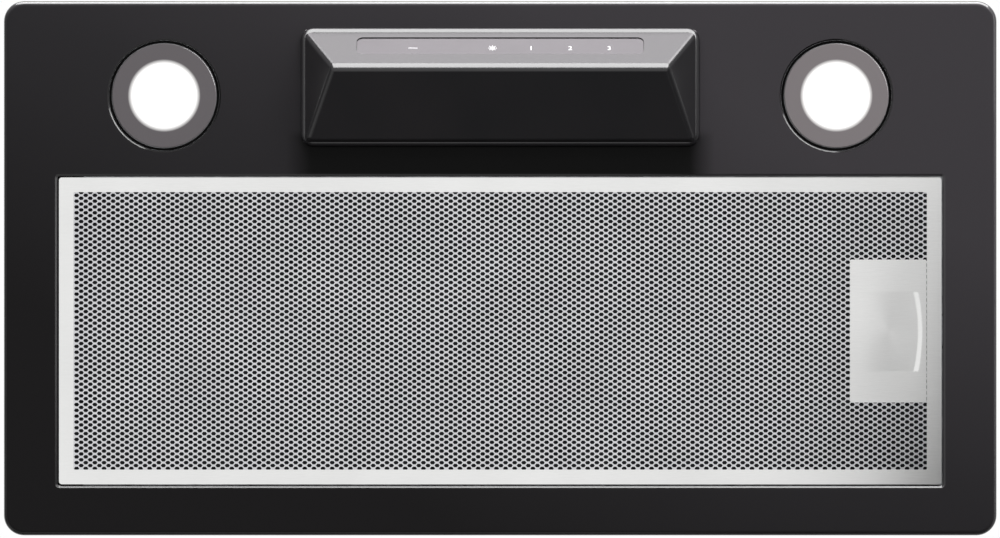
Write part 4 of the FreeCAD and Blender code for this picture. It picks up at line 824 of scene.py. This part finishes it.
def onSlope(flat, s, lift):
    # flat: n x 2 points, x along the strip, y towards the ridge; lift: how far they stand off it
    lean = math.radians(s["lean"])
    x, y = flat[:, 0], flat[:, 1]
    z = s["depth"] - lift
    ox, oy, oz = s["middle"]
    return np.column_stack([ox + x, oy + y * math.cos(lean) - z * math.sin(lean),
                            oz + y * math.sin(lean) + z * math.cos(lean)]) * mm


def signPlate(name, outlines, x, s, material):
    # each outline is a closed loop of points; the sign is the loop filled and given a thin rim
    lower, faces, start = [], [], 0
    count = sum(len(o) for o in outlines)
    for loop in outlines:
        size = len(loop)
        lower.append(np.column_stack([loop[:, 0] + x, -loop[:, 1] + s["along"]]))
        index = np.arange(size) + start
        faces.append(index[None, :])
        faces.append(index[None, ::-1] + count)
        after = np.roll(index, -1)
        faces.append(np.stack([index, index + count, after + count, after], axis=-1))
        start += size
    flat = np.concatenate(lower)
    points = np.concatenate([onSlope(flat, s, s["proud"]), onSlope(flat, s, s["proud"] - s["thick"])])
    meshPiece(name, points, faces, material, "housing", smooth=False)


def roundLoop(halfX, halfY, power, count):
    # superellipse: |x/halfX|^power + |y/halfY|^power = 1
    t = np.linspace(0, 2 * np.pi, count, endpoint=False)
    c, s = np.cos(t), np.sin(t)
    return np.column_stack([halfX * np.sign(c) * np.abs(c) ** (2 / power),
                            halfY * np.sign(s) * np.abs(s) ** (2 / power)])


def digitPiece(name, digit, x, s, material):
    # the built-in type face's digit, made a mesh and laid on the strip
    text = bpy.data.curves.new(name + "Type", "FONT")
    text.body = digit
    text.size = s["digitHeight"] / s["digitShare"]
    text.extrude = s["thick"] / 2
    text.align_x = "CENTER"
    holder = bpy.data.objects.new(name + "Type", text)
    bpy.context.scene.collection.objects.link(holder)
    bpy.context.view_layer.update()
    depsgraph = bpy.context.evaluated_depsgraph_get()
    mesh = bpy.data.meshes.new_from_object(holder.evaluated_get(depsgraph))
    bpy.data.objects.remove(holder)
    co = np.zeros(len(mesh.vertices) * 3)
    mesh.vertices.foreach_get("co", co)
    co = co.reshape(-1, 3)
    flat = np.column_stack([co[:, 0] + x, s["digitHeight"] / 2 - co[:, 1] + s["along"]])
    lift = s["proud"] - s["thick"] / 2 + co[:, 2]
    placed = np.concatenate([onSlope(flat[k:k + 1], s, lift[k]) for k in range(len(flat))])
    mesh.vertices.foreach_set("co", placed.ravel())
    mesh.name = name
    mesh.materials.clear()
    mesh.materials.append(material)
    mesh.update()
    piece = bpy.data.objects.new(name, mesh)
    bpy.context.scene.collection.objects.link(piece)
    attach(piece, "housing")


def lampSign(s):
    # a round middle with rays at even turns about it
    loops = [roundLoop(s["lampMiddle"], s["lampMiddle"], 2, 24)]
    for turn in np.arange(s["rays"]) * 2 * math.pi / s["rays"]:
        ray = roundLoop(*s["lampRay"], 4, 10)
        c, sn = math.cos(turn), math.sin(turn)
        loops.append(np.column_stack([(ray[:, 0] + s["rayReach"]) * c - ray[:, 1] * sn,
                                      (ray[:, 0] + s["rayReach"]) * sn + ray[:, 1] * c]))
    return loops


at = signSettings["places"]
signPlate("signMinus", [roundLoop(*signSettings["minus"], 6, 16)], at["minus"], signSettings, signDim)
signPlate("signLamp", lampSign(signSettings), at["lamp"], signSettings, signBright)
for signName, digit, spot in (("signOne", "1", "one"), ("signTwo", "2", "two"), ("signThree", "3", "three")):
    digitPiece(signName, digit, at[spot], signSettings, signBright)
print("signs on the touch strip")


# camera below the panel, looking up at the photo's angle; sizes in mm
viewSettings = {"lens": 200.0, "sensor": 36.0, "frameWidth": 527.44, "panelMiddle": (-0.13, 0.37),
                "faceZ": -8.0, "clip": (0.05, 100.0)}
camera = bpy.data.cameras.new("camera")
camera.lens = viewSettings["lens"]
camera.sensor_width = viewSettings["sensor"]
camera.clip_start, camera.clip_end = viewSettings["clip"]
cameraObject = bpy.data.objects.new("camera", camera)
away = viewSettings["frameWidth"] * mm * viewSettings["lens"] / viewSettings["sensor"]
cameraObject.location = (viewSettings["panelMiddle"][0] * mm, viewSettings["panelMiddle"][1] * mm,
                         viewSettings["faceZ"] * mm - away)
cameraObject.rotation_euler = (math.pi, 0, 0)      # the cook's side is at the top of the picture
bpy.context.scene.collection.objects.link(cameraObject)
bpy.context.scene.camera = cameraObject
bpy.context.scene.view_settings.view_transform = "Standard"

# floor and backdrop, in metres: white to the camera, darker far out and near the horizon in reflections
floorSettings = {"size": 300.0, "z": -7.6, "dark": (226, 225, 223), "light": (230, 229, 227),
                 "farShine": 0.5, "shineFrom": 4.0, "shineTo": 22.0}
worldSettings = {"ambient": 0.62, "horizonShine": 0.5, "zenithShine": 0.95, "shineRise": (0.05, 0.75)}


def floorPiece(s):
    material, tree, shader = newMaterial("paleFloor")
    speck = noise(tree, place(tree), 0.6, 2.0)
    wire(tree, shader, {"Base Color": darkToLight(tree, speck, s), "Roughness": 0.9,
                        "Specular IOR Level": 0.1})
    rays = addNode(tree, "LightPath", {}).outputs
    mirroredRay = maths(tree, "MAXIMUM", rays["Is Glossy Ray"], rays["Is Transmission Ray"])
    either = maths(tree, "MAXIMUM", rays["Is Camera Ray"], mirroredRay)
    reach = flatDistance(tree, addNode(tree, "TexCoord", {}).outputs["Object"])
    mirrored = spread(tree, reach, 1.0, s["farShine"], s["shineFrom"], s["shineTo"])
    level = maths(tree, "MAXIMUM", mirrored, rays["Is Camera Ray"])
    shine = addNode(tree, "Emission", {"Color": (1, 1, 1, 1), "Strength": level})
    mix = addNode(tree, "MixShader", {0: either, 1: shader.outputs[0], 2: shine.outputs[0]})
    tree.links.new(mix.outputs[0], tree.nodes["Material Output"].inputs[0])
    h, z = s["size"], s["z"]
    mesh = bpy.data.meshes.new("floor")
    mesh.from_pydata([(-h, -h, z), (h, -h, z), (h, h, z), (-h, h, z)], [], [(0, 1, 2, 3)])
    mesh.materials.append(material)
    floor = bpy.data.objects.new("floor", mesh)
    bpy.context.scene.collection.objects.link(floor)


def worldLight(s):
    # camera and transmission rays see white, glossy rays the rise from horizon to zenith, others ambient
    world = bpy.data.worlds.new("studio")
    bpy.context.scene.world = world
    world.use_nodes = True
    tree = world.node_tree
    tree.nodes.clear()
    rays = addNode(tree, "LightPath", {}).outputs
    toward = addNode(tree, "TexCoord", {}).outputs["Generated"]
    upward = addNode(tree, "SeparateXYZ", {0: toward}).outputs[2]
    mirrored = spread(tree, upward, s["horizonShine"], s["zenithShine"], *s["shineRise"])
    shine = maths(tree, "MULTIPLY", rays["Is Glossy Ray"], mirrored)
    clear = maths(tree, "MAXIMUM", rays["Is Camera Ray"], rays["Is Transmission Ray"])
    seen = maths(tree, "MAXIMUM", clear, shine)
    special = maths(tree, "MAXIMUM", clear, rays["Is Glossy Ray"])
    rest = maths(tree, "MULTIPLY_ADD", special, -s["ambient"], s["ambient"])
    level = maths(tree, "ADD", seen, rest)
    ground = addNode(tree, "Background", {"Color": (1, 1, 1, 1), "Strength": level})
    output = addNode(tree, "OutputWorld", {})
    tree.links.new(ground.outputs[0], output.inputs[0])


def softBox(name, spot, aim, width, height, level, tint=(1, 1, 1)):
    # level is the brightness of the box's face, 1 is white
    light = bpy.data.lights.new(name, "AREA")
    light.shape = "RECTANGLE"
    light.size, light.size_y = width, height
    light.energy = level * math.pi * width * height
    light.color = tint
    box = bpy.data.objects.new(name, light)
    box.location = spot
    direction = np.array(aim, float) - np.array(spot, float)
    box.rotation_euler = Vector(direction).to_track_quat("-Z", "Y").to_euler()
    box.visible_camera = False
    bpy.context.scene.collection.objects.link(box)
    return box


def darkCard(name, corners, tone):
    # a studio flag that only shows in reflections
    material, tree, shader = newMaterial(name)
    shade = addNode(tree, "Emission", {"Color": (1, 1, 1, 1), "Strength": tone})
    tree.links.new(shade.outputs[0], tree.nodes["Material Output"].inputs[0])
    mesh = bpy.data.meshes.new(name)
    mesh.from_pydata(corners, [], [(0, 1, 2, 3)])
    mesh.materials.append(material)
    card = bpy.data.objects.new(name, mesh)
    bpy.context.scene.collection.objects.link(card)
    for ray in ("camera", "diffuse", "transmission", "volume_scatter", "shadow"):
        setattr(card, "visible_" + ray, False)


floorPiece(floorSettings)
worldLight(worldSettings)
glossyPieces = ["console_cover", "touch_window",
                "signMinus", "signLamp", "signOne", "signTwo", "signThree"]
# size and place in metres, level is the brightness of the box's face, only lights the pieces named
lightSettings = {
    "frontStrip": {"spot": (0.15, -1.7, 0.12), "aim": (0, 0, -0.01), "size": (2.6, 0.8), "level": 5.9,
                   "tint": (1.0, 0.965, 1.0), "only": glossyPieces},
    "ridgeBox": {"spot": (0.10, -1.15, -0.95), "aim": (0, 0, -0.02), "size": (2.6, 1.9), "level": 15.0,
                 "only": ["console_cover"]},
    "lowStrip": {"spot": (0.25, -1.6, -0.62), "aim": (0, 0, -0.01), "size": (2.4, 0.5), "level": 14.0,
                 "only": ["fascia_panel"]},
    "edgeStrip": {"spot": (0.15, -1.65, 0.12), "aim": (0, 0, -0.01), "size": (2.6, 0.8), "level": 16.0,
                  "only": ["fascia_panel"]},
    "scoopBox": {"spot": (-1.4, 0.03, -0.2), "aim": (0.2, 0.03, 0), "size": (0.6, 0.9), "level": 0.45,
                 "only": ["latchPlate"]},
    "sideStrip": {"spot": (1.6, 0.1, -0.72), "aim": (0, 0, -0.01), "size": (1.6, 0.5), "level": 3.0,
                  "only": ["fascia_panel"]},
    "rimBox": {"spot": (0.9, -1.1, -0.58), "aim": (0, 0, 0), "size": (1.6, 0.7), "level": 9.0,
               "only": ["lampRims", "lamp_lens_left", "lamp_lens_right"]},
    "keyBox": {"spot": (0.95, -0.85, -0.85), "aim": (0, 0, 0), "size": (0.7, 0.7), "level": 2.5},
}
for lightName, one in lightSettings.items():
    box = softBox(lightName, one["spot"], one["aim"], *one["size"], one["level"],
                  one.get("tint", (1, 1, 1)))
    if "only" in one:
        group = bpy.data.collections.new(lightName + "Pieces")
        for pieceName in one["only"]:
            piece = nodes.get(pieceName) or bpy.data.objects.get(pieceName)
            if piece:
                group.objects.link(piece)
        box.light_linking.receiver_collection = group
# name: corners in metres, tone
cardSettings = {
    "rearFlag": ([(-1.2, 1.3, -0.03), (1.2, 1.3, -0.03), (1.2, 1.3, -0.58), (-1.2, 1.3, -0.58)], 0.05),
    "leftFlag": ([(-1.5, -0.8, -0.03), (-1.5, 0.8, -0.03), (-1.5, 0.8, -0.62), (-1.5, -0.8, -0.62)], 0.10),
    "cornerFlag": ([(0.30, -0.10, -0.26), (0.9, -0.10, -0.26), (0.9, 0.8, -0.26), (0.02, 0.8, -0.26)],
                   0.03),
}
for cardName, (corners, tone) in cardSettings.items():
    darkCard(cardName, corners, tone)
print("camera, floor and light")
